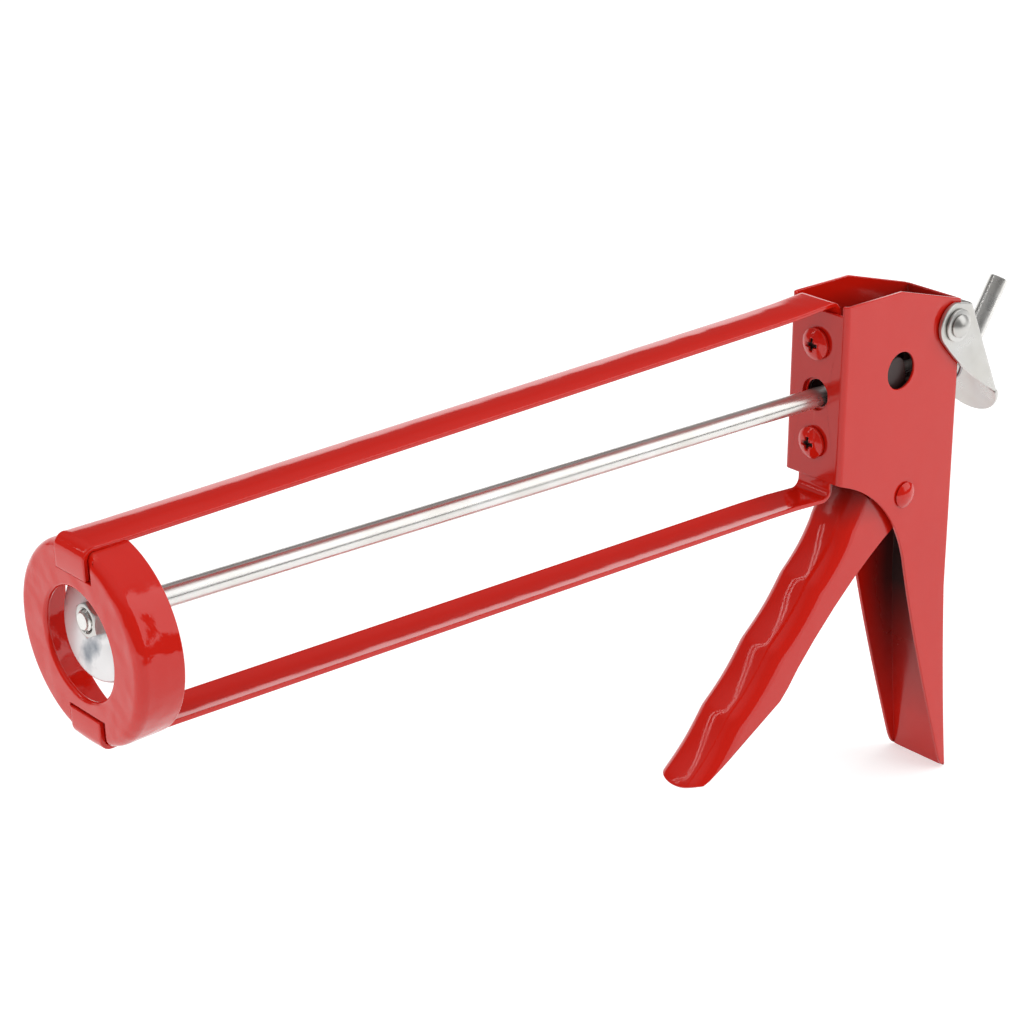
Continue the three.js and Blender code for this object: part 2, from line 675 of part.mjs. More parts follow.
function makeTrigger() {
  const pivotHole = cylinderY(PIVOT_RIVET_RADIUS + HOLE_CLEARANCE, -HANDLE_WIDTH, HANDLE_WIDTH);
  return union(
    makeTriggerChannel(),
    triggerPlate(-triggerHalf),
    triggerPlate(triggerHalf - TRIGGER_SHEET),
  ).subtract(pivotHole);
}

// A rivet on Y with a low dome outside each end of its grip
function rivet(shankRadius, headRadius, headHeight, half) {
  const headBase = half + SEAT_GAP;
  const head = dome(headBase, headRadius, headHeight);
  const outline = [...head].reverse().map(([x, r]) => [-x, r]);
  outline.push([-headBase, shankRadius], [headBase, shankRadius], ...head);
  return solid(lathe(outline, CIRCLE_SIDES));
}

// ---- Push rod and what it carries, along the rod with the handle's front face at 0 ---------------

function rodHeightAt(x) {
  return ROD_Z_AT_HANDLE + ROD_SLOPE * (x - HANDLE_DEPTH);
}

// The rod's rear end: a short lead, the bend and the leg
class Hook extends THREE.Curve {
  constructor(lead) {
    super();
    this.lead = lead;
  }

  getPoint(t, target = new THREE.Vector3()) {
    const arc = ROD_HOOK_RADIUS * ROD_HOOK_ANGLE;
    const run = t * (this.lead + arc + ROD_HOOK_LEG) - this.lead;
    const angle = Math.min(Math.max(run / ROD_HOOK_RADIUS, 0), ROD_HOOK_ANGLE);
    const straight = run < 0 ? run : Math.max(run - arc, 0);
    return target.set(
      ROD_HOOK_X - ROD_HOOK_RADIUS * Math.sin(angle) - straight * Math.cos(angle),
      0,
      ROD_HOOK_RADIUS * (1 - Math.cos(angle)) + straight * Math.sin(angle),
    );
  }
}

function makeRod() {
  const lead = 4;
  const threadX = ROD_END_X - ROD_THREAD_LENGTH;
  const bar = turnedX([
    [ROD_HOOK_X + lead / 2, 0],
    [ROD_HOOK_X + lead / 2, ROD_RADIUS],
    [threadX, ROD_RADIUS],
    [threadX + 0.5, ROD_THREAD_RADIUS],
    [ROD_END_X - 0.7, ROD_THREAD_RADIUS],
    [ROD_END_X, ROD_THREAD_RADIUS - 0.7],
    [ROD_END_X, 0],
  ]);
  const hook = solid(
    new THREE.ExtrudeGeometry(new THREE.Shape().absarc(0, 0, ROD_RADIUS, 0, 2 * Math.PI), {
      extrudePath: new Hook(lead),
      steps: 20,
      curveSegments: 12,
      bevelEnabled: false,
    }),
  );
  return bar.add(hook);
}

// A point of the tilted plunger level with a nut's corner sets how far the nut stands off its middle
const plungerNutCorner = PLUNGER_NUT_FLATS / Math.sqrt(3);
const plungerNutStandoff =
  (plungerNutCorner + (PLUNGER_SHEET / 2) * Math.sin(PLUNGER_TILT)) * Math.tan(PLUNGER_TILT) +
  (PLUNGER_SHEET / 2) * Math.cos(PLUNGER_TILT) +
  SEAT_GAP;
const frontNutX = ROD_END_X - ROD_BEYOND_NUT - PLUNGER_NUT_HEIGHT;
const plungerX = frontNutX - plungerNutStandoff;
const backNutX = plungerX - plungerNutStandoff - PLUNGER_NUT_HEIGHT;

// A shallow dome of sheet with a flat middle, about the centre of its bore
function makePlunger() {
  const front = [];
  const steps = 4;
  for (let step = 0; step <= steps; step++) {
    const share = step / steps;
    const radius = THREE.MathUtils.lerp(PLUNGER_SEAT_RADIUS, PLUNGER_RADIUS, share);
    front.push([PLUNGER_SHEET / 2 - PLUNGER_DOME * share ** 2, radius]);
  }
  const back = front.map(([x, radius]) => [x - PLUNGER_SHEET, radius]).reverse();
  const clearBore = ROD_THREAD_RADIUS + HOLE_CLEARANCE;
  const bore = clearBore / Math.cos(PLUNGER_TILT) + PLUNGER_SHEET * Math.tan(PLUNGER_TILT);
  const boreFront = [PLUNGER_SHEET / 2, bore];
  const boreBack = [-PLUNGER_SHEET / 2, bore];
  return turnedX([boreFront, ...front, ...back, boreBack, boreFront], LARGE_CIRCLE_SIDES);
}

const drivePlateRearX = TRIGGER_PIVOT_X + ARM_HEAD.x + ARM_HEAD.radius + DRIVE_CONTACT_GAP - HANDLE_DEPTH;
const drivePlateFrontX = drivePlateRearX + DRIVE_PLATE_THICKNESS;

function makeDrivePlate() {
  const half = DRIVE_PLATE_HEIGHT / 2;
  const corner = 3;
  const outline = new THREE.Shape();
  outline.absarc(triggerHalf - corner, half - corner, corner, 0, Math.PI / 2);
  outline.absarc(corner - triggerHalf, half - corner, corner, Math.PI / 2, Math.PI);
  outline.absarc(corner - triggerHalf, corner - half, corner, Math.PI, 1.5 * Math.PI);
  outline.absarc(triggerHalf - corner, corner - half, corner, 1.5 * Math.PI, 2 * Math.PI);
  const geometry = new THREE.ExtrudeGeometry(outline, {
    depth: DRIVE_PLATE_THICKNESS,
    bevelEnabled: false,
    curveSegments: 5,
  });
  const standing = new THREE.Matrix4().makeBasis(
    new THREE.Vector3(0, 1, 0),
    new THREE.Vector3(0, 0, 1),
    new THREE.Vector3(1, 0, 0),
  );
  geometry.applyMatrix4(standing).translate(drivePlateRearX, 0, 0);
  return solid(geometry).subtract(
    cylinderX(ROD_RADIUS + ROD_CLEARANCE, drivePlateRearX - 1, drivePlateFrontX + 1),
  );
}

// ---- Release lever, about its pivot with the web upright -----------------------------------------

const earInner = handleHalf + LEVER_SIDE_GAP;
const earOuter = earInner + LEVER_SHEET;
const leverWebFront = LEVER_SHEET - LEVER_WEB_BACK;

function leverEar(yLow) {
  const outline = new THREE.Shape();
  outline.moveTo(-LEVER_WEB_BACK, LEVER_WEB_TOP);
  outline.lineTo(-LEVER_WEB_BACK, LEVER_EAR_FOOT);
  outline.lineTo(-LEVER_WEB_BACK + LEVER_SHEET, LEVER_EAR_FOOT);
  outline.quadraticCurveTo(
    3,
    LEVER_EAR_FOOT * 0.52,
    LEVER_EAR_RADIUS * Math.cos(LEVER_EAR_START),
    LEVER_EAR_RADIUS * Math.sin(LEVER_EAR_START),
  );
  outline.absarc(0, 0, LEVER_EAR_RADIUS, LEVER_EAR_START, LEVER_EAR_END);
  return sidePrism(outline, yLow, yLow + LEVER_SHEET);
}

// Where the rod's axis crosses the middle of the web, and how far the slot must clear it, when the
// web leans by an angle
function rodInWeb(lean) {
  const middle = leverWebFront - LEVER_SHEET / 2;
  const fall = rodHeightAt(LEVER_PIVOT.x) - LEVER_PIVOT.z;
  const x = (middle + fall * Math.sin(lean)) / (Math.cos(lean) - ROD_SLOPE * Math.sin(lean));
  const height = x * Math.sin(lean) + (fall + ROD_SLOPE * x) * Math.cos(lean);
  const reach = (ROD_RADIUS + ROD_CLEARANCE) / Math.cos(lean) + (LEVER_SHEET / 2) * Math.tan(lean);
  return { height, reach };
}

function makeLever() {
  const tabRadius = earOuter - 0.6;
  const web = new THREE.Shape();
  web.moveTo(earOuter, LEVER_WEB_TOP);
  web.lineTo(-earOuter, LEVER_WEB_TOP);
  web.lineTo(-earOuter, LEVER_EAR_FOOT);
  web.absellipse(0, LEVER_EAR_FOOT, tabRadius, LEVER_EAR_FOOT - LEVER_TAB_END, Math.PI, 2 * Math.PI);
  web.lineTo(earOuter, LEVER_EAR_FOOT);

  const rest = rodInWeb(LEVER_LEAN);
  const pressed = rodInWeb(LEVER_LEAN - LEVER_TRAVEL);
  const slotRadius = ROD_RADIUS + ROD_CLEARANCE;
  const slotLow = rest.height - rest.reach + slotRadius;
  const slotHigh = pressed.height + pressed.reach - slotRadius;
  const slot = new THREE.Path();
  slot.absarc(0, slotHigh, slotRadius, 0, Math.PI);
  slot.absarc(0, slotLow, slotRadius, Math.PI, 2 * Math.PI);
  web.holes.push(slot);

  const geometry = new THREE.ExtrudeGeometry(web, {
    depth: LEVER_SHEET,
    bevelEnabled: false,
    curveSegments: 16,
  });
  const standing = new THREE.Matrix4().makeBasis(
    new THREE.Vector3(0, 1, 0),
    new THREE.Vector3(0, 0, 1),
    new THREE.Vector3(1, 0, 0),
  );
  geometry.applyMatrix4(standing).translate(-LEVER_WEB_BACK, 0, 0);
  return union(solid(geometry), leverEar(earInner), leverEar(-earOuter)).subtract(
    cylinderY(LEVER_RIVET_RADIUS + HOLE_CLEARANCE, -REACH, REACH),
  );
}

function makeLeverWasher(side) {
  const near = earOuter + SEAT_GAP;
  const far = near + LEVER_WASHER_THICKNESS;
  const [low, high] = side > 0 ? [near, far] : [-far, -near];
  return cylinderY(LEVER_WASHER_RADIUS, low, high).subtract(
    cylinderY(LEVER_RIVET_RADIUS + HOLE_CLEARANCE, low - 1, high + 1),
  );
}

// The lever spring stands on the handle's back, and its top touches the leaning web
function makeLeverSpring() {
  const top = rodHeightAt(0) + LEVER_SPRING_RADIUS + LEVER_SPRING_WIRE - LEVER_PIVOT.z;
  const webX = LEVER_PIVOT.x + (leverWebFront + top * Math.sin(LEVER_LEAN)) / Math.cos(LEVER_LEAN);
  return coilSpring(LEVER_SPRING_RADIUS, LEVER_SPRING_WIRE, LEVER_SPRING_TURNS, webX + SEAT_GAP, -SEAT_GAP);
}

// ---- Assembly ----------------------------------------------------------------------------------

const gun = new THREE.Group();

gun.add(mesh("handle_body", makeHandle(), redPaint));
gun.add(mesh("frame_strap", makeStrap(), redPaint));

ringGroup.add(mesh("front_ring", makeRing(), redPaint));
gun.add(ringGroup);

for (const [place, z] of Object.entries(SCREW_HEIGHTS)) {
  const screw = mesh(`frame_screw_${place}`, makeScrew(), redPaint);
  screw.position.set(HANDLE_DEPTH, 0, z);
  const frameNut = mesh(
    `frame_nut_${place}`,
    nut(FRAME_NUT_FLATS, FRAME_NUT_HEIGHT, SCREW_RADIUS + HOLE_CLEARANCE, nutFrontX - FRAME_NUT_HEIGHT),
    zinc,
  );
  frameNut.position.copy(screw.position);
  gun.add(screw, frameNut);
}

const triggerGroup = new THREE.Group();
triggerGroup.position.x = TRIGGER_PIVOT_X;
triggerGroup.add(mesh("trigger", makeTrigger(), redPaint));
triggerGroup.add(
  mesh(
    "trigger_rivet",
    rivet(PIVOT_RIVET_RADIUS, PIVOT_RIVET_HEAD_RADIUS, PIVOT_RIVET_HEAD_HEIGHT, handleHalf),
    redPaint,
  ),
);
gun.add(triggerGroup);

const rodGroup = new THREE.Group();
rodGroup.position.set(HANDLE_DEPTH, 0, ROD_Z_AT_HANDLE);
rodGroup.rotation.y = -Math.atan(ROD_SLOPE);
const threadBore = ROD_THREAD_RADIUS + HOLE_CLEARANCE;
rodGroup.add(mesh("push_rod", makeRod(), zinc));
const plunger = mesh("plunger_plate", makePlunger(), zinc);
plunger.position.x = plungerX;
plunger.rotation.y = -PLUNGER_TILT;
rodGroup.add(plunger);
for (const [name, x] of [["plunger_nut_front", frontNutX], ["plunger_nut_back", backNutX]]) {
  rodGroup.add(mesh(name, nut(PLUNGER_NUT_FLATS, PLUNGER_NUT_HEIGHT, threadBore, x), zinc));
}
rodGroup.add(mesh("drive_plate", makeDrivePlate(), hardenedSteel));
rodGroup.add(
  mesh(
    "main_spring",
    coilSpring(
      MAIN_SPRING_RADIUS,
      MAIN_SPRING_WIRE,
      MAIN_SPRING_TURNS,
      drivePlateFrontX + SEAT_GAP,
      strapWebBackX - HANDLE_DEPTH - SEAT_GAP,
    ),
    springSteel,
  ),
);
gun.add(rodGroup);

const leverPlace = new THREE.Group();
leverPlace.position.set(LEVER_PIVOT.x, 0, LEVER_PIVOT.z);
const leverRivetHalf = earOuter + SEAT_GAP + LEVER_WASHER_THICKNESS;
leverPlace.add(
  mesh(
    "lever_rivet",
    rivet(LEVER_RIVET_RADIUS, LEVER_RIVET_HEAD_RADIUS, LEVER_RIVET_HEAD_HEIGHT, leverRivetHalf),
    zinc,
  ),
);
leverPlace.add(mesh("lever_washer_left", makeLeverWasher(1), zinc));
leverPlace.add(mesh("lever_washer_right", makeLeverWasher(-1), zinc));
const releaseLever = mesh("release_lever", makeLever(), zinc);
releaseLever.rotation.y = LEVER_LEAN;
leverPlace.add(releaseLever);
gun.add(leverPlace);

const leverSpring = mesh("lever_spring", makeLeverSpring(), springSteel);
leverSpring.position.z = rodHeightAt(0);
gun.add(leverSpring);

export default gun;
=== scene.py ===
"""Dressed model of a skeleton caulking gun: painted sheet frame, zinc-plated rod and thumb release."""

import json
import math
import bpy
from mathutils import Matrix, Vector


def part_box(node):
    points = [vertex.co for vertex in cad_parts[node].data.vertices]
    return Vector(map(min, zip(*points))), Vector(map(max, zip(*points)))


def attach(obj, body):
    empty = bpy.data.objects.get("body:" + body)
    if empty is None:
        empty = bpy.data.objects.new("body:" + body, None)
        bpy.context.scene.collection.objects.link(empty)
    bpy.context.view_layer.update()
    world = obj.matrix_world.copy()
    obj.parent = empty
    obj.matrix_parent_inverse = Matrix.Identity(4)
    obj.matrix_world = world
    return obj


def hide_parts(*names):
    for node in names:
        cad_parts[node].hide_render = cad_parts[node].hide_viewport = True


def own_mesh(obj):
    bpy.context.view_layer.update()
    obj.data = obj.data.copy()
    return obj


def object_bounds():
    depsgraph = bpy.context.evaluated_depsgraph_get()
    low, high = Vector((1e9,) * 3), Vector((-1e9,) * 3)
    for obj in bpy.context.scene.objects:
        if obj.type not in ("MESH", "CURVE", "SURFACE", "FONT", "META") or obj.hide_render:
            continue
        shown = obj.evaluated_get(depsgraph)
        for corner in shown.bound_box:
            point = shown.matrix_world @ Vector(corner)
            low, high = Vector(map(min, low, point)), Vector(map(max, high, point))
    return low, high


bl_info = {
    "name": "Skeleton Caulking Gun",
    "version": (1, 0, 0),
    "blender": (4, 5, 0),
    "location": "3D View > Sidebar > Caulking Gun",
    "description": "Builds the painted frame, drive and release of a skeleton caulking gun",
    "category": "Add Mesh",
}

import bmesh
import bpy
from mathutils import Matrix, Vector

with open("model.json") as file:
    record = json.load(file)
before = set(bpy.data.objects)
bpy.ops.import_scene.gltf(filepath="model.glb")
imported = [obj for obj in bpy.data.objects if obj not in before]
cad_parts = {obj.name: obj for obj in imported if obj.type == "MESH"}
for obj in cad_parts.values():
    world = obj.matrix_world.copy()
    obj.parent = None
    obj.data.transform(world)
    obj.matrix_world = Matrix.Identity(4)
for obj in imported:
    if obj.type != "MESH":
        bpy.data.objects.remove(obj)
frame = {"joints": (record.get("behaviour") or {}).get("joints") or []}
CAD_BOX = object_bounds()
HANDLE_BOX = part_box("handle_body")
FOOT_Z = HANDLE_BOX[0].z
FRONT_X, HALF_WIDTH, TOP_Z = HANDLE_BOX[1]

SEAT_GAP = 0.0002  # between faces that bear on each other
HOLE_GAP = 0.0003  # round a shank or a rivet in its hole, on the radius
ROD_GAP = 0.00035  # round the rod in the drive plate and the lever, on the radius
PIN_SIDES = 24
RIGHT_ANGLE = math.radians(90)
ALONG_Y = Matrix.Rotation(math.pi / 2, 4, "Z")  # turns what is built along X


# ---- Properties --------------------------------------------------------------------------------


def length(name, description, millimetres):
    default = millimetres / 1000
    return bpy.props.FloatProperty(
        name=name, description=description, default=default, precision=5, unit="LENGTH"
    )


def angle(name, description, degrees):
    default = math.radians(degrees)
    return bpy.props.FloatProperty(
        name=name, description=description, default=default, unit="ROTATION"
    )


def number(name, description, default):
    return bpy.props.FloatProperty(name=name, description=description, default=default)


def colour(name, description, *default):
    return bpy.props.FloatVectorProperty(
        name=name, description=description, default=(*default, 1), size=4, subtype="COLOR", min=0, max=1
    )


class FinishSettings(bpy.types.PropertyGroup):
    """Colours and gloss of the gun's finishes"""

    paint: colour("Paint", "Enamel on all pressed sheet parts", 0.62, 0.012, 0.0045)
    deep_paint: colour("Deep paint", "Enamel where it lies thicker", 0.54, 0.007, 0.003)
    # Painted shade: the dark colour that the enamel's masks mix in deep inside the handle, on the
    # trigger's top, in the screws' recesses and in creases
    shade_paint: colour("Shade paint", "Dark colour of the painted shade inside the handle, under it and in creases", 0.028, 0.008, 0.007)
    worn_paint: colour("Worn paint", "Enamel rubbed on outward edges", 0.75, 0.1, 0.07)
    paint_gloss: number("Paint roughness", "Roughness of the enamel", 0.07)
    bright_zinc: colour("Bright zinc", "Plating of the rod and plunger", 0.85, 0.85, 0.85)
    zinc: colour("Zinc", "Plating of sheet parts, nuts and rivets", 0.57, 0.58, 0.59)
    warm_zinc: colour("Warm zinc", "Yellowish passivated zinc", 0.56, 0.53, 0.465)
    dull_zinc: colour("Dull zinc", "Blue-grey patches in the plating", 0.28, 0.31, 0.35)
    worn_metal: colour("Worn metal", "Metal rubbed bright on its edges", 0.9, 0.9, 0.9)
    steel: colour("Spring steel", "Bare wire of both springs", 0.46, 0.46, 0.47)
    hard_steel: colour("Hardened steel", "Dark drive plate", 0.09, 0.09, 0.10)


class HandleSettings(bpy.types.PropertyGroup):
    """Sizes of the folded handle"""

    sheet: length("Sheet", "Thickness of the sheet", 1.2)
    fold: length("Fold radius", "Outside radius of the handle's folds", 2)
    grip_fold: length("Grip fold", "Outside radius of the folds in the grip", 1.25)
    foot_corner: length("Foot corner", "Radius of the web's corners at the grip's foot", 8)
    foot_start: length("Foot start", "Where these corners start, from the sides", 2.7)
    foot_round: length("Foot rounding", "Height of the rounding of the sides at the foot", 5)
    back: length("Back", "Place of the back below its bend", -1.2)
    crest: length("Crest", "Where the flat top ends, from the back", 29.8)
    rear_top: length("Rear height", "Height of the back above the trigger pivot", 63.3)
    lean: length("Back lean", "How far the top of the back leans in", 0.4)
    back_bend: length("Back bend", "Height where the back starts to lean", 24)
    straight_end: length("Straight end", "Depth where the grip starts to sweep", -40)
    front_bottom: length("Front foot", "Height of the front web's foot", 11.2)
    arch_x: length("Arch foot X", "Where the arch runs into the grip", 21.7)
    arch_z: length("Arch foot Z", "Height where the arch runs into the grip", -24)
    sweep: length("Sweep", "How far the foot of the grip lies behind", 6.9)
    foot_depth: length("Foot depth", "Depth of the grip at its foot", 1.5)
    notch: length("Notch", "Height of the notch that the strap leaves by", 68.8)
    side_hole_x: length("Side hole X", "Centre of the side hole", 28.5)
    side_hole_z: length("Side hole Z", "Centre of the side hole", 44.9)
    side_hole: length("Side hole radius", "Radius of the hole in both sides", 6.35)
    rod_hole_z: length("Rod hole Z", "Height of the rod's hole in the front", 40.1)
    rod_hole: length("Rod hole radius", "Radius of the rod's hole in the front", 5.45)
    inner_hole: length("Inner hole radius", "Radius of the rod's hole in the strap", 4.7)
    back_hole: length("Back hole radius", "Radius of the rod's hole in the back", 4.2)
    rim: length("Rim", "Rounding of the sheet's cut edges", 0.3)


class StrapSettings(bpy.types.PropertyGroup):
    """Sizes of the strap that makes both rails"""

    width: length("Width", "Width of the strip", 14.2)
    sheet: length("Sheet", "Thickness of the strip", 1.5)
    crown: length("Crown", "How far the rails bulge across their width", 0.85)
    over_ring: length("Over ring", "How far it stands above the ring's wall", 1.1)
    tab_end: length("Tab end", "Distance of a tab's end from the ring's axis", 20.5)
    tab_proud: length("Tab proud", "How far a tab stands out of the ring's face", 0.3)
    tab_bend: length("Tab bend", "Outside radius of the bend over the ring", 4.2)
    web_bend: length("Web bend", "Outside radius of the bend at the handle", 4.5)
    above: length("Upper rail", "Upper rail at the handle, above the ring's axis", 35.3)
    below: length("Lower rail", "Lower rail at the handle, below the ring's axis", 33.6)
    rim: length("Rim", "Rounding of the strip's edges", 0.35)


class RingSettings(bpy.types.PropertyGroup):
    """Sizes of the pressed front ring"""

    axis_z: length("Axis height", "Height of the ring's axis", 37.8)
    back_x: length("Back rim", "Place of the ring's rear rim", 321.9)
    depth: length("Depth", "Depth of the cup", 14.1)
    radius: length("Radius", "Outside radius of the wall", 29)
    sheet: length("Sheet", "Thickness of the sheet", 1.5)
    hole: length("Hole radius", "Radius of the nozzle hole", 16.15)
    edge: length("Edge radius", "Radius between face and wall", 3.2)
    lean: angle("Lean", "How far its top leans forward", 2)
    pocket_left: length("Pocket left", "Free space on a tab's left in its pocket", 2.35)
    pocket_right: length("Pocket right", "Free space on a tab's right", 0.3)
    pocket_top: length("Upper pocket", "Free space under the upper tab's end", 0.15)
    pocket_foot: length("Lower pocket", "Free space over the lower tab's end", 0.8)
    rim: length("Rim", "Rounding of the pressed edges", 0.22)


class FastenerSettings(bpy.types.PropertyGroup):
    """Sizes of screws, nuts and rivets"""

    upper_z: length("Upper screw", "Height of the upper screw", 57.4)
    lower_z: length("Lower screw", "Height of the lower screw", 23.55)
    screw: length("Screw radius", "Radius of the screw's thread", 2.5)
    head: length("Head radius", "Radius of a screw's head", 5.4)
    head_height: length("Head height", "Height of a screw's head", 3.1)
    recess: length("Recess", "Width over the cross recess", 6.6)
    nut: length("Nut", "Width over the flats of a frame nut", 8)
    nut_height: length("Nut height", "Height of a frame nut", 4)
    pivot_x: length("Pivot", "Place of the trigger's rivet", 23.3)
    rivet: length("Rivet radius", "Radius of the trigger rivet's shank", 2.5)
    rivet_head: length("Rivet head", "Radius of the trigger rivet's head", 4.45)
    rivet_height: length("Rivet height", "Height of the trigger rivet's head", 1.9)


class TriggerSettings(bpy.types.PropertyGroup):
    """Sizes of the trigger"""

    half: length("Half width", "Half of its width", 9.65)
    sheet: length("Sheet", "Thickness of the sheet", 1.5)
    slope: angle("Slope", "Slope of its front below the horizontal", 47)
    front: length("Front", "From the pivot to the front, square to the slope", 12.7)
    flare: length("Flare", "How much farther forward its top lies", 4.4)
    start: length("Start", "Where the front starts, along the slope", 8.6)
    flare_end: length("Flare end", "Where the flare ends, along the slope", 46)
    end: length("Length", "Where the tip ends, along the slope", 123)
    corner: length("Corner", "Radius between front and flanges", 6)
    tip: length("Tip", "Length of the rounded tip", 7.5)
    lobe_start: length("Lobe start", "Place of the first ridge", 43)
    lobe: length("Lobe", "Length of a finger lobe", 25.8)
    lobe_depth: length("Lobe depth", "Depth of a finger lobe", 1.1)
    hub: length("Hub", "Radius of the hub round the pivot", 8)
    arm_x: length("Arm head X", "Centre of the arm's head, from the pivot", 4.6)
    arm_z: length("Arm head Z", "Centre of the arm's head, from the pivot", 44.5)
    arm_head: length("Arm head", "Radius of the arm's head", 4.2)
    rim: length("Rim", "Rounding of the sheet's cut edges", 0.3)


class DriveSettings(bpy.types.PropertyGroup):
    """Sizes of the push rod, plunger, drive plate and main spring"""

    rod: length("Rod radius", "Radius of the push rod", 3.25)
    rod_z: length("Rod height", "Height of the rod at the handle's front", 38.7)
    rod_slope: number("Rod slope", "Rise of the rod for each unit forward", 0.0175)
    rod_end: length("Rod end", "Front end of the rod, from the handle's front", 278.5)
    hook_start: length("Hook start", "Where the hook's bend starts", -71.9)
    hook_angle: angle("Hook angle", "How far the hook turns up", 58)
    hook_radius: length("Hook radius", "Radius of the hook's bend", 5)
    hook_leg: length("Hook leg", "Length of the hook beyond its bend", 25)
    thread: length("Thread radius", "Radius of the thread's crests", 2.9)
    thread_length: length("Thread length", "Length of the threaded end", 14)
    pitch: length("Pitch", "Pitch of the thread", 1)
    plunger: length("Plunger radius", "Radius of the plunger plate", 17.9)
    plunger_sheet: length("Plunger sheet", "Thickness of the plunger plate", 1.4)
    plunger_dome: length("Plunger dome", "How far its rim lies behind its middle", 1.4)
    plunger_tilt: angle("Plunger tilt", "How far the loose plate tips", 14)
    plunger_turn: angle("Plunger turn", "How far the loose plate turns sideways", 5)
    seat: length("Seat radius", "Radius of the plate's flat middle", 6.5)
    nut: length("Nut", "Width over the flats of a plunger nut", 9.2)
    nut_height: length("Nut height", "Height of a plunger nut", 3.4)
    plate_rear: length("Drive plate", "Rear of the drive plate, from the front web", -23.55)
    plate: length("Plate thickness", "Thickness of the drive plate", 2.5)
    plate_height: length("Plate height", "Height of the drive plate", 24)
    spring: length("Spring radius", "Main spring's radius, to the wire's middle", 6.9)
    wire: length("Wire radius", "Radius of the wire of both springs", 0.6)
    turns: number("Turns", "Turns of the main spring", 3)


class LeverSettings(bpy.types.PropertyGroup):
    """Sizes of the thumb release"""

    pivot_x: length("Pivot X", "Place of the lever's rivet", 3.8)
    pivot_z: length("Pivot Z", "Height of the lever's rivet", 55.6)
    lean: angle("Lean", "How far the web leans at rest", 24.8)
    sheet: length("Sheet", "Thickness of the sheet", 1.5)
    gap: length("Side gap", "Between each ear and the handle", 0.4)
    ear: length("Ear radius", "Radius of the ear round the rivet", 7.8)
    web: length("Web back", "From the pivot to the rear of the web", 10)
    web_top: length("Web top", "Top of the web above the pivot", 1.9)
    ear_foot: length("Ear foot", "Where the ears end, below the pivot", -35.4)
    tab_end: length("Tab end", "End of the thumb tab, below the pivot", -47.6)
    fold: length("Fold radius", "Outside radius of the folds", 2.2)
    rivet: length("Rivet radius", "Radius of the rivet's shank", 2.3)
    rivet_head: length("Rivet head", "Radius of the rivet's head", 4)
    rivet_height: length("Rivet height", "Height of the rivet's head", 2.3)
    washer: length("Washer radius", "Radius of the washers", 5.6)
    washer_sheet: length("Washer", "Thickness of the washers", 0.8)
    spring: length("Spring radius", "Lever spring's radius, to the wire's middle", 7.4)
    turns: number("Turns", "Turns of the lever spring", 3.5)
    rim: length("Rim", "Rounding of the sheet's cut edges", 0.35)


class StageSettings(bpy.types.PropertyGroup):
    """Camera, floor and light"""

    lens: number("Focal length", "Focal length of the camera in millimetres", 95.87)
    azimuth: angle("Azimuth", "Direction that the camera stands in", 139.1)
    elevation: angle("Elevation", "Height of the camera above the horizon", 22.6)
    distance: length("Distance", "From the camera to the point it looks at", 842.6)
    target_x: length("Target X", "Point that the camera looks at", 163.7)
    target_y: length("Target Y", "Point that the camera looks at", -25.36)
    target_z: length("Target Z", "Point that the camera looks at", 20.1)
    floor: colour("Floor", "Plain pale floor", 0.8, 0.8, 0.8)
    ambient: number("Ambient", "Even light from all round", 0.72)
    overhead: number("Overhead light", "Power of the overhead panel in watts", 3)
    side: number("Side light", "Power of the large panel at the left in watts", 8)
    strip: number("Strip lights", "Power of each of the two narrow strips in watts", 0.4)
    fill: number("Fill light", "Power of the panel in front of the ring in watts", 0.6)
    glow: number("Floor glow", "Brightness that the floor adds where it shows", 0.44)
    backdrop: number("Backdrop", "Brightness of the backdrop in reflections", 1.35)
    room: number("Room", "Brightness of the room in reflections, low down", 0.12)
    ceiling: number("Ceiling", "Brightness of the room in reflections, high up", 0.5)


GROUPS = {
    "finish": FinishSettings,
    "handle": HandleSettings,
    "strap": StrapSettings,
    "ring": RingSettings,
    "fasteners": FastenerSettings,
    "trigger": TriggerSettings,
    "drive": DriveSettings,
    "lever": LeverSettings,
    "stage": StageSettings,
}


class CaulkingGunSettings(bpy.types.PropertyGroup):
    """All settings of the caulking gun"""

    __annotations__ = {name: bpy.props.PointerProperty(type=kind) for name, kind in GROUPS.items()}


def all_settings():
    return bpy.context.scene.caulking_gun


class Build:
    """Makes an operator run its build() with the scene's settings"""

    def execute(self, context):
        self.build(context.scene.caulking_gun)
        return {"FINISHED"}


# ---- Shape helpers -----------------------------------------------------------------------------


def blend(a, b, share):
    return a + (b - a) * share


def ease(share):
    """0 to 1 with a soft start and end"""
    share = min(max(share, 0), 1)
    return share * share * (3 - 2 * share)


def turn(radius, theta):
    """A point on a circle as two numbers"""
    return radius * math.cos(theta), radius * math.sin(theta)


def arc(radius, start, end, steps, centre=(0, 0)):
    """Points on an arc, with both of its ends"""
    spokes = (turn(radius, blend(start, end, i / steps)) for i in range(steps + 1))
    return [(centre[0] + u, centre[1] + v) for u, v in spokes]


def rounded_corners(wide, high, corner, steps):
    """The four rounded corners of a rectangle, each as points. wide and high are half its sides"""
    corners = []
    for quarter, (across, up) in enumerate(((1, 1), (-1, 1), (-1, -1), (1, -1))):
        centre = across * (wide - corner), up * (high - corner)
        start = RIGHT_ANGLE * quarter
        corners.append(arc(corner, start, start + RIGHT_ANGLE, steps, centre))
    return corners


def bezier(a, b, c, t):
    """A point on a curve with three control points in the plane"""
    return tuple((1 - t) ** 2 * p + 2 * t * (1 - t) * q + t * t * r for p, q, r in zip(a, b, c))


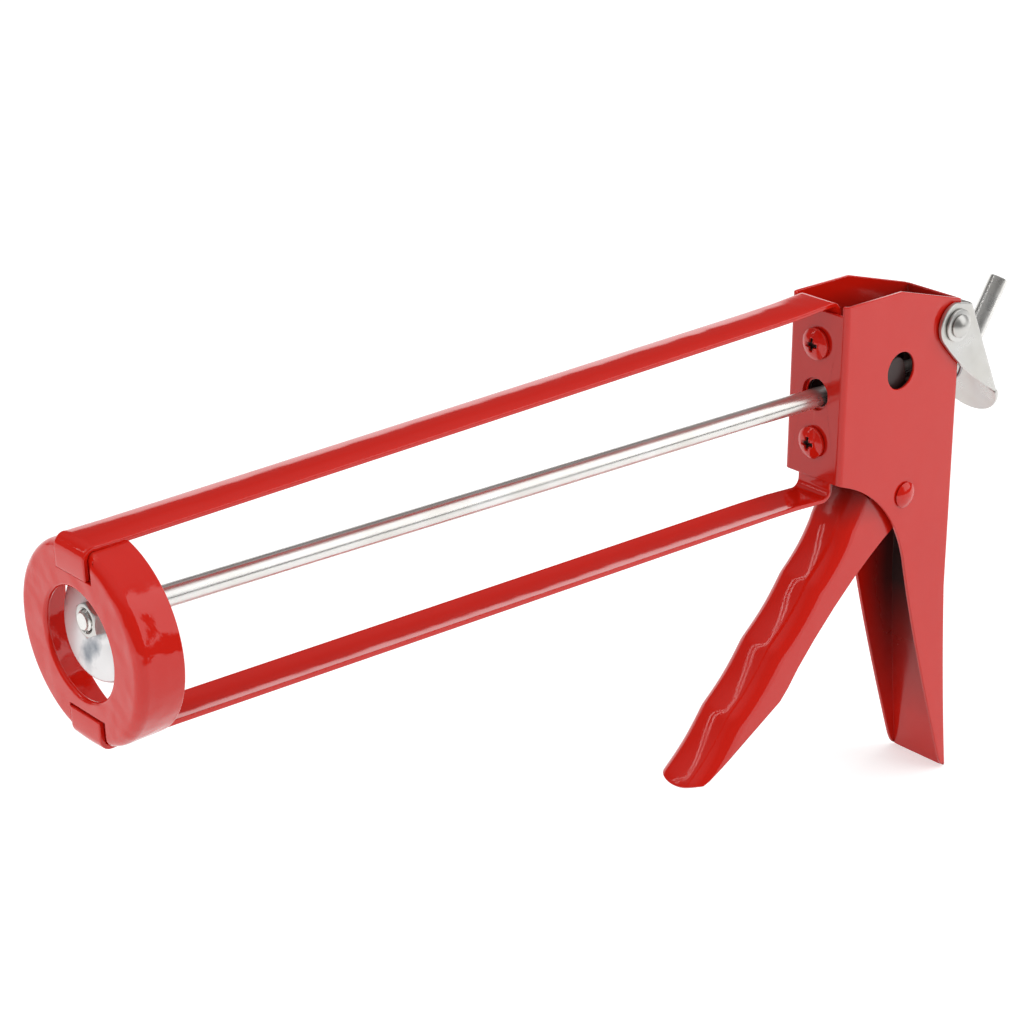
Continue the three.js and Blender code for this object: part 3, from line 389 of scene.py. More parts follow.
def crossing(value, low=0.0, high=1.0):
    """Where a rising or falling value passes zero"""
    sign = 1 if value(high) > value(low) else -1
    for _ in range(40):
        middle = (low + high) / 2
        if sign * value(middle) < 0:
            low = middle
        else:
            high = middle
    return (low + high) / 2


def quads(bm, rows, closed=False):
    """Faces between rows of points that all have the same count"""
    verts = [[bm.verts.new(point) for point in row] for row in rows]
    for row, after in zip(verts, verts[1:]):
        count = len(row)
        for i in range(count if closed else count - 1):
            j = (i + 1) % count
            bm.faces.new((row[i], row[j], after[j], after[i]))


def flat_face(bm, outline, holes=()):
    """A flat face with holes in it"""
    edges = []
    for loop in (outline, *holes):
        verts = [bm.verts.new(point) for point in loop]
        for a, b in zip(verts, verts[1:] + verts[:1]):
            edges.append(bm.edges.new((a, b)))
    bmesh.ops.triangle_fill(bm, use_beauty=True, edges=edges)


def circle(centre, radius, place, count=40):
    """A loop of points, which place() puts in space from two plane numbers"""
    points = (turn(radius, 2 * math.pi * i / count) for i in range(count))
    return [place(centre[0] + u, centre[1] + v) for u, v in points]


def make_object(name, bm, place=None, inside=None):
    """Welds the mesh, turns its faces outward and makes the object. inside is a point behind the
    faces of an open skin."""
    bmesh.ops.remove_doubles(bm, verts=bm.verts, dist=2e-6)
    bmesh.ops.recalc_face_normals(bm, faces=bm.faces)
    if inside is not None:
        away = ((f, f.calc_center_median() - Vector(inside)) for f in bm.faces)
        if sum(f.calc_area() * f.normal.dot(way) for f, way in away) < 0:
            bmesh.ops.reverse_faces(bm, faces=bm.faces)
    if place is not None:
        bm.transform(place)
    mesh = bpy.data.meshes.new(name)
    bm.to_mesh(mesh)
    bm.free()
    mesh.shade_smooth()
    obj = bpy.data.objects.new(name, mesh)
    bpy.context.scene.collection.objects.link(obj)
    return obj


def thicken(obj, thickness):
    solidify = obj.modifiers.new("Sheet", "SOLIDIFY")
    solidify.thickness = thickness
    solidify.offset = -1
    solidify.use_even_offset = True
    solidify.use_quality_normals = True


def soften(obj, width, segments=3, sharper_than=38):
    """Rounds the sharp edges and keeps flat faces flat in the light"""
    bevel = obj.modifiers.new("Edges", "BEVEL")
    bevel.width = width
    bevel.segments = segments
    bevel.limit_method = "ANGLE"
    bevel.angle_limit = math.radians(sharper_than)
    bevel.use_clamp_overlap = False
    weighted = obj.modifiers.new("Flats", "WEIGHTED_NORMAL")
    weighted.keep_sharp = False


def carve(obj, cutters, operation="DIFFERENCE"):
    """Cuts or joins other solids, which are used up"""
    for cutter in cutters:
        boolean = obj.modifiers.new("Carve", "BOOLEAN")
        boolean.operation = operation
        boolean.solver = "EXACT"
        boolean.object = cutter
    settle(obj)
    for cutter in cutters:
        bpy.data.objects.remove(cutter)


def join_flat_faces(obj):
    """Removes the edges that cross flat faces, so that a bevel has room"""
    bm = bmesh.new()
    bm.from_mesh(obj.data)
    limit = math.radians(0.5)
    bmesh.ops.dissolve_limit(
        bm, angle_limit=limit, verts=bm.verts, edges=bm.edges, delimit={"NORMAL"}
    )
    bm.to_mesh(obj.data)
    bm.free()


def settle(obj):
    """Turns the modifiers so far into plain mesh"""
    bpy.context.view_layer.update()
    graph = bpy.context.evaluated_depsgraph_get()
    mesh = bpy.data.meshes.new_from_object(obj.evaluated_get(graph))
    obj.modifiers.clear()
    obj.data = mesh
    mesh.shade_smooth()


def crease(obj, degrees):
    """Keeps the edges above an angle sharp in the light"""
    obj.data.set_sharp_from_angle(angle=math.radians(degrees))
    return obj


def revolved(name, profiles, place=None, closed=False):
    """A surface round X, from a profile of X and radius for each of its angles"""
    columns = []
    for i, profile in enumerate(profiles):
        v, w = turn(1, 2 * math.pi * i / len(profiles))
        columns.append([(x, r * v, r * w) for x, r in profile])
    rows = [list(row) for row in zip(*columns)]
    bm = bmesh.new()
    quads(bm, rows + rows[:1] if closed else rows, closed=True)
    return make_object(name, bm, place)


def turned(name, profile, steps=64, place=None, closed=False):
    """A turned solid, from one profile of X and radius"""
    return revolved(name, [profile] * steps, place, closed)


def ended(name, rows, place=None):
    """A solid through closed rows of points, with flat ends"""
    bm = bmesh.new()
    quads(bm, rows, closed=True)
    flat_face(bm, rows[0])
    flat_face(bm, rows[-1])
    return make_object(name, bm, place)


def prism(name, outline, low, high, spread, place=None):
    """A closed prism. spread() puts an outline point in space at a distance"""
    rows = [[spread(u, v, level) for u, v in outline] for level in (low, high)]
    return ended(name, rows, place)


def coil(name, radius, wire, turns, low, high, place=None):
    """A compression spring along X between two ends, with both end turns nearly closed"""
    low, high = low + wire, high - wire
    ends, closed, per_turn, sides = 0.75, 0.15, 40, 12
    steps = round(turns * per_turn)
    rows = []
    for i in range(steps + 1):
        turned_by = turns * i / steps
        rise = min(max((turned_by - ends) / (turns - 2 * ends), 0), 1)
        crawl = (min(turned_by, ends) + max(turned_by - turns + ends, 0)) / (2 * ends)
        x = blend(low, high, rise * (1 - closed) + crawl * closed)
        v, w = turn(1, 2 * math.pi * turned_by)
        section = [turn(wire, 2 * math.pi * k / sides) for k in range(sides)]
        rows.append([(x + along, (radius + out) * v, (radius + out) * w) for out, along in section])
    return ended(name, rows, place)


def low_dome(base, radius, height, steps=12):
    """Profile of a low dome towards +X, from its rim to the axis"""
    sphere = (radius * radius + height * height) / (2 * height)
    points = []
    for i in range(steps + 1):
        r = radius * math.cos(math.pi / 2 * i / steps)
        points.append((base + height - sphere + math.sqrt(sphere * sphere - r * r), r))
    return points


def hex_nut(name, flats, height, bore, low, place):
    """A nut along X with both faces chamfered on a cone and the bore's mouths countersunk"""
    apothem, half, sink, steps = flats / 2, height / 2, 0.0005, 72
    land, slope = apothem * 0.97, math.tan(math.radians(28))
    profiles = []
    for i in range(steps):
        theta = 2 * math.pi * i / steps
        corner = apothem / math.cos((theta + math.pi / 6) % (math.pi / 3) - math.pi / 6)
        drop = (corner - land) * slope
        side = [(half - sink, bore), (half, bore + sink), (half, land)]
        side += [(half - drop * 0.5, (land + corner) / 2), (half - drop, corner)]
        profile = side + [(-x, r) for x, r in reversed(side)]
        profiles.append([(low + half + x, r) for x, r in profile])
    return crease(revolved(name, profiles, place, closed=True), 34)


def washer(name, radius, bore, low, high, place):
    rim, nick = 0.0002, 0.00006
    front = [(low, bore), (low, radius - rim), (low + nick, radius - nick), (low + rim, radius)]
    back = [(high - rim, radius), (high - nick, radius - nick), (high, radius - rim), (high, bore)]
    return crease(turned(name, front + back, place=place, closed=True), 50)


def rivet(name, shank, head, height, half, place):
    """A rivet along Y with a round head outside each end of its grip"""
    base = half + SEAT_GAP
    lip = height * 0.22
    dome = [(base, head - lip * 0.5), (base + lip * 0.6, head)]
    dome += low_dome(base + lip, head, height - lip)
    profile = [(-x, r) for x, r in reversed(dome)] + [(-base, shank), (base, shank)] + dome
    return crease(turned(name, profile, place=place @ ALONG_Y), 60)


def joint(name):
    return next(j for j in frame["joints"] if j["name"] == name)


def at(x, z, lean=0.0):
    """A place on the middle plane, turned about Y"""
    return Matrix.Translation((x, 0, z)) @ Matrix.Rotation(lean, 4, "Y")


# ---- Finishes ----------------------------------------------------------------------------------


def add_node(tree, kind, inputs=None, **settings):
    node = tree.nodes.new(kind)
    for key, value in settings.items():
        setattr(node, key, value)
    for key, value in (inputs or {}).items():
        if isinstance(value, bpy.types.NodeSocket):
            tree.links.new(value, node.inputs[key])
        else:
            node.inputs[key].default_value = value
    return node


def calculate(tree, operation, *values):
    """Result of a sum on sockets or numbers"""
    return add_node(tree, "ShaderNodeMath", dict(enumerate(values)), operation=operation).outputs[0]


def product(tree, *values):
    result = values[0]
    for value in values[1:]:
        result = calculate(tree, "MULTIPLY", result, value)
    return result


def ranged(tree, value, low, high):
    """Turns a mask from 0 to 1 into a range"""
    node = add_node(tree, "ShaderNodeMapRange", {"Value": value, "To Min": low, "To Max": high})
    return node.outputs["Result"]


def step(tree, value, low, high):
    """0 up to low and 1 from high, or the other way round where low is the larger"""
    node = add_node(tree, "ShaderNodeMapRange", {"Value": value, "From Min": low, "From Max": high})
    return node.outputs["Result"]


def mix_colours(tree, share, first, second):
    inputs = {0: share, 6: first, 7: second}
    return add_node(tree, "ShaderNodeMix", inputs, data_type="RGBA").outputs[2]


def own_place(tree):
    """A point's place in its object"""
    return add_node(tree, "ShaderNodeTexCoord").outputs["Object"]


def axes(tree, vector):
    """X, Y and Z of a vector"""
    return add_node(tree, "ShaderNodeSeparateXYZ", {0: vector}).outputs


def noise(tree, where, scale, detail):
    node = add_node(tree, "ShaderNodeTexNoise", {"Vector": where, "Scale": scale, "Detail": detail})
    return node.outputs["Fac"]


def new_group(name, inputs, outputs):
    """An empty node group, from the kinds of its sockets. Gives its inside ends too"""
    tree = bpy.data.node_groups.new(name, "ShaderNodeTree")
    for in_out, sockets in (("INPUT", inputs), ("OUTPUT", outputs)):
        for socket, kind in sockets.items():
            tree.interface.new_socket(name=socket, in_out=in_out, socket_type=f"NodeSocket{kind}")
    given = tree.nodes.new("NodeGroupInput").outputs
    return tree, given, tree.nodes.new("NodeGroupOutput").inputs


def tone_group(name):
    """Slow change between two tones over the surface"""
    sockets = {"Tone": "Color", "Other Tone": "Color", "Scale": "Float", "Amount": "Float"}
    tree, given, out = new_group(name, sockets, {"Color": "Color"})
    share = product(tree, noise(tree, own_place(tree), given["Scale"], 4), given["Amount"])
    tree.links.new(mix_colours(tree, share, given["Tone"], given["Other Tone"]), out["Color"])
    return tree


def rubbed_group(name):
    """Long or round rub marks as a mask"""
    sockets = {"Stretch": "Vector", "Scale": "Float", "Threshold": "Float"}
    tree, given, out = new_group(name, sockets, {"Mask": "Float"})
    factors = {0: own_place(tree), 1: given["Stretch"]}
    stretched = add_node(tree, "ShaderNodeVectorMath", factors, operation="MULTIPLY").outputs[0]
    marks = noise(tree, stretched, given["Scale"], 5)
    tree.links.new(step(tree, marks, given["Threshold"], 0.8), out["Mask"])
    return tree


def ripple_group(name):
    """Height of a sprayed or rolled surface: long waves with fine grain on them"""
    sockets = {"Wave Scale": "Float", "Grain Scale": "Float", "Grain": "Float"}
    tree, given, out = new_group(name, sockets, {"Height": "Float"})
    where = own_place(tree)
    wave = noise(tree, where, given["Wave Scale"], 1)
    grain = noise(tree, where, given["Grain Scale"], 3)
    tree.links.new(calculate(tree, "MULTIPLY_ADD", grain, given["Grain"], wave), out["Height"])
    return tree


def wear_and_crevice_shade_group(name):
    """Masks of the outward edges, broken up by noise, for wear, and of the crevices, for painted shade
    """
    masks = {"Mask": "Float", "Crevice": "Float"}
    tree, given, out = new_group(name, {"Start": "Float", "Full": "Float"}, masks)
    bend = add_node(tree, "ShaderNodeNewGeometry").outputs["Pointiness"]
    edge = step(tree, bend, given["Start"], given["Full"])
    tree.links.new(product(tree, edge, noise(tree, own_place(tree), 260, 4)), out["Mask"])
    # Painted shade in the crevices, where Pointiness is low
    tree.links.new(step(tree, bend, 0.47, 0.4), out["Crevice"])
    return tree


EFFECTS = {
    "Tone drift": tone_group,
    "Rub marks": rubbed_group,
    "Ripple": ripple_group,
    "Worn edges": wear_and_crevice_shade_group,
}


def effect(tree, name, *values):
    """Outputs of an effect's group in a material's tree. The group is built once for all"""
    group = bpy.data.node_groups.get(name) or EFFECTS[name](name)
    node = add_node(tree, "ShaderNodeGroup", node_tree=group)
    for socket, value in zip(node.inputs, values):
        socket.default_value = value
    return node.outputs


def surface(name):
    """A new material and its Principled shader"""
    material = bpy.data.materials.new(name)
    material.use_nodes = True
    return material, material.node_tree, material.node_tree.nodes["Principled BSDF"]


def bump(tree, shader, height, strength, distance):
    inputs = {"Height": height, "Strength": strength, "Distance": distance}
    normal = add_node(tree, "ShaderNodeBump", inputs).outputs["Normal"]
    tree.links.new(normal, shader.inputs["Normal"])


def painted_shade_in_handle(tree):
    """Mask of painted shade on the faces deep inside the handle and grip, and lightly on the front
    web's outside
    """
    h = all_settings().handle
    grip_lean = -0.079
    above_pivot, below_pivot, round_top = (0.002, 0.013), (0.006, 0.003), (0.005, -0.013)
    above_foot, from_front = (-0.098, -0.045), (0.016, 0.003)
    x, y, z = axes(tree, own_place(tree))
    away = calculate(tree, "ABSOLUTE", y)
    inside = step(tree, away, HALF_WIDTH - h.sheet * 0.3, HALF_WIDTH - h.sheet * 0.7)
    swept = calculate(tree, "MINIMUM", calculate(tree, "ADD", z, -h.straight_end), 0)
    from_back = calculate(tree, "MULTIPLY_ADD", swept, grip_lean, x)
    off_back = step(tree, from_back, h.back + h.sheet * 0.5, h.back + h.sheet * 0.65)
    in_handle = product(
        tree,
        step(tree, z, *above_pivot),
        step(tree, z, *(h.rear_top + rise for rise in round_top)),
        step(tree, x, FRONT_X - h.sheet * 1.25, FRONT_X - h.sheet * 1.7),
    )
    facing = axes(tree, add_node(tree, "ShaderNodeNewGeometry").outputs["Normal"])
    in_grip = product(
        tree,
        step(tree, z, *above_foot),
        step(tree, from_back, *from_front),
        ranged(tree, calculate(tree, "ABSOLUTE", facing["Y"]), 1, 0.9),
        step(tree, z, *below_pivot),
    )
    hidden = product(tree, inside, off_back, calculate(tree, "MAXIMUM", in_handle, in_grip))
    # Painted shade on the outside of the front web, at 0.15 of the full amount
    near, nearer, shade = 0.0003, 0.0001, 0.15
    behind = step(tree, x, FRONT_X - near, FRONT_X - nearer)
    ahead = step(tree, x, FRONT_X + near, FRONT_X + nearer)
    on_front = product(tree, behind, ahead, shade)
    return calculate(tree, "MAXIMUM", hidden, on_front)


def painted_shade_in_recess(tree):
    """Mask of painted shade in the cross recesses, which lie under the domes of both screws' heads"""
    f = all_settings().fasteners
    middle, half = (f.upper_z + f.lower_z) / 2, (f.upper_z - f.lower_z) / 2
    x, y, z = axes(tree, own_place(tree))
    away = calculate(tree, "ABSOLUTE", calculate(tree, "ADD", z, -middle))
    off = calculate(tree, "ADD", away, -half)
    squared = calculate(tree, "MULTIPLY_ADD", off, off, product(tree, y, y))
    level = calculate(tree, "MULTIPLY_ADD", squared, f.head_height * 0.65 / f.head**2, x)
    crown = FRONT_X + SEAT_GAP + f.head_height
    deep = step(tree, level, crown - 0.0004, crown - 0.0011)
    return product(tree, deep, step(tree, squared, (f.head * 0.7) ** 2, (f.head * 0.62) ** 2))


def painted_shade_on_trigger(tree):
    """Mask of painted shade on the trigger's arms and on its top, which the handle covers"""
    return step(tree, axes(tree, own_place(tree))["Z"], -0.008, 0.012)


def red_enamel(name="Red enamel", waves=0.00025, scale=75, shade_mask=painted_shade_in_handle):
    """Sprayed enamel with painted shade. waves is the height of the sheet's unevenness; the last
    argument is a function that gives the mask of painted shade
    """
    if name in bpy.data.materials:
        return bpy.data.materials[name]
    finish = all_settings().finish
    material, tree, shader = surface(name)
    tone = effect(tree, "Tone drift", finish.paint, finish.deep_paint, 45, 0.5)["Color"]
    worn = effect(tree, "Worn edges", 0.53, 0.62)
    rubbed = mix_colours(tree, ranged(tree, worn["Mask"], 0, 0.35), tone, finish.worn_paint)
    # Painted shade: the masked faces and the creases take the dark shade colour and a rougher gloss
    shade_share = calculate(tree, "MAXIMUM", shade_mask(tree), product(tree, worn["Crevice"], 0.7))
    shaded_colour = mix_colours(tree, shade_share, rubbed, finish.shade_paint)
    tree.links.new(shaded_colour, shader.inputs["Base Color"])
    marks = effect(tree, "Rub marks", (1, 1, 1), 90, 0.45)["Mask"]
    gloss = ranged(tree, marks, finish.paint_gloss, finish.paint_gloss + 0.07)
    rough = calculate(tree, "MULTIPLY_ADD", shade_share, 0.35, gloss)
    tree.links.new(rough, shader.inputs["Roughness"])
    shader.inputs["IOR"].default_value = 1.5
    bump(tree, shader, effect(tree, "Ripple", scale, 900, 0.04)["Height"], 0.8, waves)
    return material


METALS = {  # two tones, roughness, stretch and scale of the rub marks, strength of the relief
    "Zinc sheet": ("zinc", "warm_zinc", 0.26, (1, 1, 1), 160, 0.2),
    "Mottled zinc": ("bright_zinc", "bright_zinc", 0.3, (1, 1, 1), 120, 0.3),
    "Drawn zinc rod": ("bright_zinc", "warm_zinc", 0.24, (0.02, 1, 1), 500, 0.14),
    "Spring wire": ("steel", "hard_steel", 0.3, (1, 1, 1), 400, 0.3),
    "Dark steel": ("hard_steel", "steel", 0.42, (1, 0.1, 1), 300, 0.5),
}


def metal(name):
    """Bright or plated metal with streaks that run along the short way of their stretch"""
    if name in bpy.data.materials:
        return bpy.data.materials[name]
    finish = all_settings().finish
    first, second, roughness, stretch, scale, strength = METALS[name]
    tones = getattr(finish, first), getattr(finish, second)
    material, tree, shader = surface(name)
    drift = effect(tree, "Tone drift", *tones, 60, 0.9)["Color"]
    worn = effect(tree, "Worn edges", 0.52, 0.6)["Mask"]
    base = mix_colours(tree, ranged(tree, worn, 0, 0.5), drift, finish.worn_metal)
    shader.inputs["Metallic"].default_value = 0.88
    marks = effect(tree, "Rub marks", stretch, scale, 0.35)["Mask"]
    rough = ranged(tree, marks, roughness, roughness + 0.16)
    tree.links.new(rough, shader.inputs["Roughness"])
    ripple = effect(tree, "Ripple", 140, 1400, 0.25)["Height"]
    bump(tree, shader, calculate(tree, "MULTIPLY_ADD", marks, 0.5, ripple), strength, 0.0001)
    if name == "Mottled zinc":
        patches = effect(tree, "Rub marks", (1, 1, 1), 75, 0.5)["Mask"]
        base = mix_colours(tree, ranged(tree, patches, 0, 2), base, finish.dull_zinc)
        shader.inputs["Metallic"].default_value = 0.4
    tree.links.new(base, shader.inputs["Base Color"])
    return material


def fit(obj, body, slot, material, *nodes):
    """Gives a piece its finish and its body, and hides the CAD nodes that it stands for"""
    obj.data.materials.clear()
    obj.data.materials.append(material)
    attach(obj, body)
    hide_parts(*nodes)
    return obj


# ---- Handle ------------------------------------------------------------------------------------


def back_x(h, z):
    """The back of the handle and grip at a height"""
    if z > h.back_bend:
        return h.back + h.lean * (z - h.back_bend) / (h.rear_top - h.back_bend)
    down = max(h.straight_end - z, 0) / (h.straight_end - FOOT_Z)
    return h.back - h.sweep / 3 * 2 * down * (1 - down) - h.sweep * down * down


def grip_front(h, t):
    """The front edge of the grip's side, from its foot to the arch"""
    foot = (h.foot_depth - h.sweep, FOOT_Z)
    middle = (h.arch_x * 0.67, blend(h.arch_z, FOOT_Z, 0.35))
    return bezier(foot, middle, (h.arch_x, h.arch_z), t)


def arch(h, t):
    """The arch over the trigger, from the grip to the front web's foot"""
    middle = (blend(h.arch_x, FRONT_X, 0.23), blend(h.front_bottom, h.arch_z, 0.23))
    return bezier((h.arch_x, h.arch_z), middle, (FRONT_X, h.front_bottom), t)


def rear_fold(h, z):
    """Outside radius of the back folds, which are tighter in the grip"""
    down = (h.back_bend - z) / (h.back_bend - h.straight_end)
    return blend(h.fold, h.grip_fold, min(max(down, 0), 1))


def foot_height(h, y):
    """Height of the grip's foot outside, which is rounded up at both sides. Its inside hangs lower,
    as the sheet leans there"""
    over = max(abs(y) - (HALF_WIDTH - h.foot_start), 0) / h.foot_corner
    level = FOOT_Z + h.sheet * 0.2
    return level + h.foot_corner * (1 - math.sqrt(1 - over * over))


def rear_column(h, fold, spread=1):
    """Points down the back at an angle round its fold, 0 at the side plate. Where the angle is a
    right angle, spread places the column on the flat back, from 1 at one fold to -1 at the other"""
    across, along = turn(1, fold)
    share = 1 - along
    slope = (TOP_Z - h.rear_top) / (h.crest - h.lean)
    low = foot_height(h, (HALF_WIDTH - h.grip_fold + across * h.grip_fold) * spread)
    heights = [h.rear_top + share * h.fold * slope, h.back_bend]
    heights += [blend(h.back_bend, h.straight_end, i / 3) for i in range(1, 4)]
    heights += [blend(h.straight_end, low, i / 18) for i in range(1, 19)]
    column = []
    for z in heights:
        radius = rear_fold(h, z)
        y = (HALF_WIDTH - radius + across * radius) * spread
        column.append((back_x(h, z) + share * radius, y, z))
    return column


def front_column(h, x):
    """Points of X and Z up the front fold"""
    t = crossing(lambda t: arch(h, t)[0] - x)
    return [(x, arch(h, t)[1]), (x, h.notch), (x, TOP_Z)]


def handle_side(bm, h, side):
    """One side plate with its two folds"""
    half = HALF_WIDTH
    rear, front = [], []
    for i in range(9):
        fold = RIGHT_ANGLE * i / 8
        across, along = turn(h.fold, fold)
        y = side * (half - h.fold + across)
        rear.append([(x, side * y, z) for x, y, z in rear_column(h, fold)])
        front.append([(x, y, z) for x, z in front_column(h, FRONT_X - h.fold + along)])
    quads(bm, rear)
    quads(bm, front)
    foot = foot_height(h, half)
    above = crossing(lambda t: grip_front(h, t)[1] - foot - h.foot_round)
    heel, toe = (rear[0][-1][0], foot), (grip_front(h, 0)[0], foot)
    grip = [bezier(heel, toe, grip_front(h, above), i / 8) for i in range(1, 8)]
    grip += [grip_front(h, blend(above, 1, i / 16)) for i in range(17)]
    end = crossing(lambda t: arch(h, t)[0] - (FRONT_X - h.fold))
    bow = [arch(h, blend(0, end, i / 14)) for i in range(1, 14)]
    edge = [(x, side * half, z) for x, z in grip + bow]
    outline = front[0] + [(h.crest, side * half, TOP_Z)] + rear[0] + edge
    fasteners, lever = all_settings().fasteners, all_settings().lever

    def place(x, z):
        return x, side * half, z

    holes = [
        circle((h.side_hole_x, h.side_hole_z), h.side_hole, place, 48),
        circle((fasteners.pivot_x, 0), fasteners.rivet + HOLE_GAP, place, PIN_SIDES),
        circle((lever.pivot_x, lever.pivot_z), lever.rivet + HOLE_GAP, place, PIN_SIDES),
    ]
    flat_face(bm, outline, holes)


def handle_webs(bm, h):
    """The front web with its screw and rod holes, and the back web down to the grip's foot"""
    half = HALF_WIDTH - h.fold
    f, d = all_settings().fasteners, all_settings().drive

    def on_front(y, z):
        return FRONT_X, y, z

    corners = [(half, h.front_bottom), (half, h.notch), (-half, h.notch), (-half, h.front_bottom)]
    holes = [circle((0, h.rod_hole_z), h.rod_hole, on_front)]
    for z in (f.upper_z, f.lower_z):
        holes.append(circle((0, z), f.screw + HOLE_GAP, on_front, PIN_SIDES))
    flat_face(bm, [on_front(*corner) for corner in corners], holes)

    def on_back(y, z):
        return back_x(h, z), y, z

    columns = [rear_column(h, RIGHT_ANGLE, 1 - i / 12) for i in range(25)]
    quads(bm, [column[1:] for column in columns])
    upper = [columns[0][0], columns[-1][0]] + [column[1] for column in columns[::-1]]
    flat_face(bm, upper, [circle((0, rod_height(d, 0)), h.back_hole, on_back, 32)])


class CAULKING_GUN_OT_handle(Build, bpy.types.Operator):
    """Build the folded handle and grip"""

    bl_idname = "caulking_gun.handle"
    bl_label = "Handle"

    def build(self, gun):
        h = gun.handle
        bm = bmesh.new()
        for side in (1, -1):
            handle_side(bm, h, side)
        handle_webs(bm, h)
        shell = make_object("handle_shell", bm, inside=(h.crest / 2, 0, h.rod_hole_z))
        thicken(shell, h.sheet)
        soften(shell, h.rim)
        fit(shell, "frame", "red_paint", red_enamel(), "handle_body")


# ---- Front ring --------------------------------------------------------------------------------


def ring_place(r):
    return at(r.back_x, r.axis_z, r.lean)


def ring_profile(r):
    """The cup's section as X and radius, all the way round the sheet"""
    inner, face = r.radius - r.sheet, r.depth - r.sheet
    lip, rim, bend = 0.0011, 0.0004, r.edge - r.sheet
    outer = arc(r.edge, RIGHT_ANGLE, 0, 8, (r.depth - r.edge, r.radius - r.edge))
    mouth = arc(lip, 0, -RIGHT_ANGLE, 6, (r.depth - lip, r.hole + lip))
    corner = arc(bend, 0, RIGHT_ANGLE, 4, (face - bend, inner - bend))
    ends = [(rim, inner), (0, inner + rim), (0, r.radius - rim)]
    return [(rim, r.radius), *outer, *mouth, (face, r.hole), (face, inner - bend), *corner, *ends]


class CAULKING_GUN_OT_ring(Build, bpy.types.Operator):
    """Build the pressed front ring with its pockets for the strap's tabs"""

    bl_idname = "caulking_gun.ring"
    bl_label = "Front Ring"

    def build(self, gun):
        r, s = gun.ring, gun.strap
        cup = turned("ring_cup", ring_profile(r), steps=144, closed=True)
        floor = r.depth + s.tab_proud - s.sheet - SEAT_GAP
        left, right = s.width / 2 + r.pocket_left, -s.width / 2 - r.pocket_right
        outside = r.radius + s.over_ring
        groove = outside - s.sheet - SEAT_GAP
        wall, clear, overlap = 0.0012, 0.001, 0.0003
        bend = s.tab_bend - s.sheet - SEAT_GAP
        bent = arc(bend, 0, RIGHT_ANGLE, 6, (floor - bend, groove - bend))
        bent += [(-clear, groove), (-clear, outside + clear), (r.depth + clear, outside + clear)]
        pads, cuts = [], []
        for side, gap in ((1, r.pocket_top), (-1, r.pocket_foot)):
            end = s.tab_end - gap
            top = r.radius - r.sheet * 0.75
            first, last = math.acos((left + wall) / top), math.acos((right - wall) / top)
            outline = arc(top, first, last, 16)
            outline += [(right - wall, end - wall), (left + wall, end - wall)]
            low, high = floor - wall, floor + overlap
            pads.append(prism("pad", outline, low, high, lambda y, z, x: (x, y, side * z)))
            bent_to = [(r.depth + clear, end), (floor, end), *bent]
            cuts.append(prism("pocket", bent_to, right, left, lambda x, z, y: (x, y, side * z)))
        carve(cup, pads, "UNION")
        carve(cup, cuts)
        join_flat_faces(cup)
        cup.data.transform(ring_place(r))
        soften(cup, r.rim, sharper_than=34)
        finish = red_enamel("Red enamel on the ring", 0.0009, 120)
        fit(cup, "frame", "red_paint", finish, "front_ring")


# ---- Strap -------------------------------------------------------------------------------------


def strap_back(h, s):
    """Where the nuts and the main spring bear on the strap, from the handle's front"""
    return -h.sheet - SEAT_GAP - s.sheet - SEAT_GAP


def strap_corners(s, r):
    """Corners of the strap's outside as X and Z, each with its bend radius"""
    tab_x = r.depth + s.tab_proud
    outside = r.radius + s.over_ring
    web_x = FRONT_X - all_settings().handle.sheet - SEAT_GAP - s.sheet

    def from_ring(x, z):
        point = ring_place(r) @ Vector((x, 0, z))
        return Vector((point.x, point.z))

    return [
        (from_ring(tab_x, s.tab_end), 0),
        (from_ring(tab_x, outside), s.tab_bend),
        (from_ring(0, outside), 0),
        (Vector((web_x, r.axis_z + s.above)), s.web_bend),
        (Vector((web_x, r.axis_z - s.below)), s.web_bend),
        (from_ring(0, -outside), 0),
        (from_ring(tab_x, -outside), s.tab_bend),
        (from_ring(tab_x, -s.tab_end), 0),
    ]


def strap_stations(s, r):
    """Points along the strap's outside, each with its inward direction"""
    corners = strap_corners(s, r)
    ways = [(b[0] - a[0]).normalized() for a, b in zip(corners, corners[1:])]
    inward = [Vector((-way.y, way.x)) for way in ways]
    degrees_a_step, longest = 7, 0.012
    stations = [(corners[0][0], inward[0])]
    for i in range(1, len(corners)):
        point, bend = corners[i]
        before, after = inward[i - 1], inward[min(i, len(inward) - 1)]
        bisector = (before + after).normalized()
        centre = point + bisector * bend / bisector.dot(before)
        first = math.atan2(-before.y, -before.x)
        whole = math.acos(min(before.dot(after), 1)) if bend else 0
        steps = round(math.degrees(whole) / degrees_a_step)
        start = centre + Vector(turn(bend, first))
        last = stations[-1][0]
        gaps = max(round((start - last).length / longest), 1)
        for k in range(1, gaps):
            stations.append((last.lerp(start, k / gaps), before))
        if not bend:
            stations.append((point, bisector))
            continue
        for k in range(steps + 1):
            spoke = Vector(turn(1, first + whole * k / steps))
            stations.append((centre + spoke * bend, -spoke))
    return stations


def band_section(s, crown, inset):
    """The strip's closed section as Y and depth below its outside"""
    rim = s.rim - inset * 0.9
    half, rise = s.width / 2 - inset, s.sheet / 2 - inset
    first, second, third, fourth = rounded_corners(half, rise, rim, 3)
    flat = [((half - rim) * (1 - i / 8), rise) for i in range(1, 16)]
    under = [(-y, -up) for y, up in flat]
    loop = [(y, s.sheet / 2 - up) for y, up in (*first, *flat, *second, *third, *under, *fourth)]
    return [(y, depth + crown * (2 * y / s.width) ** 2) for y, depth in loop]


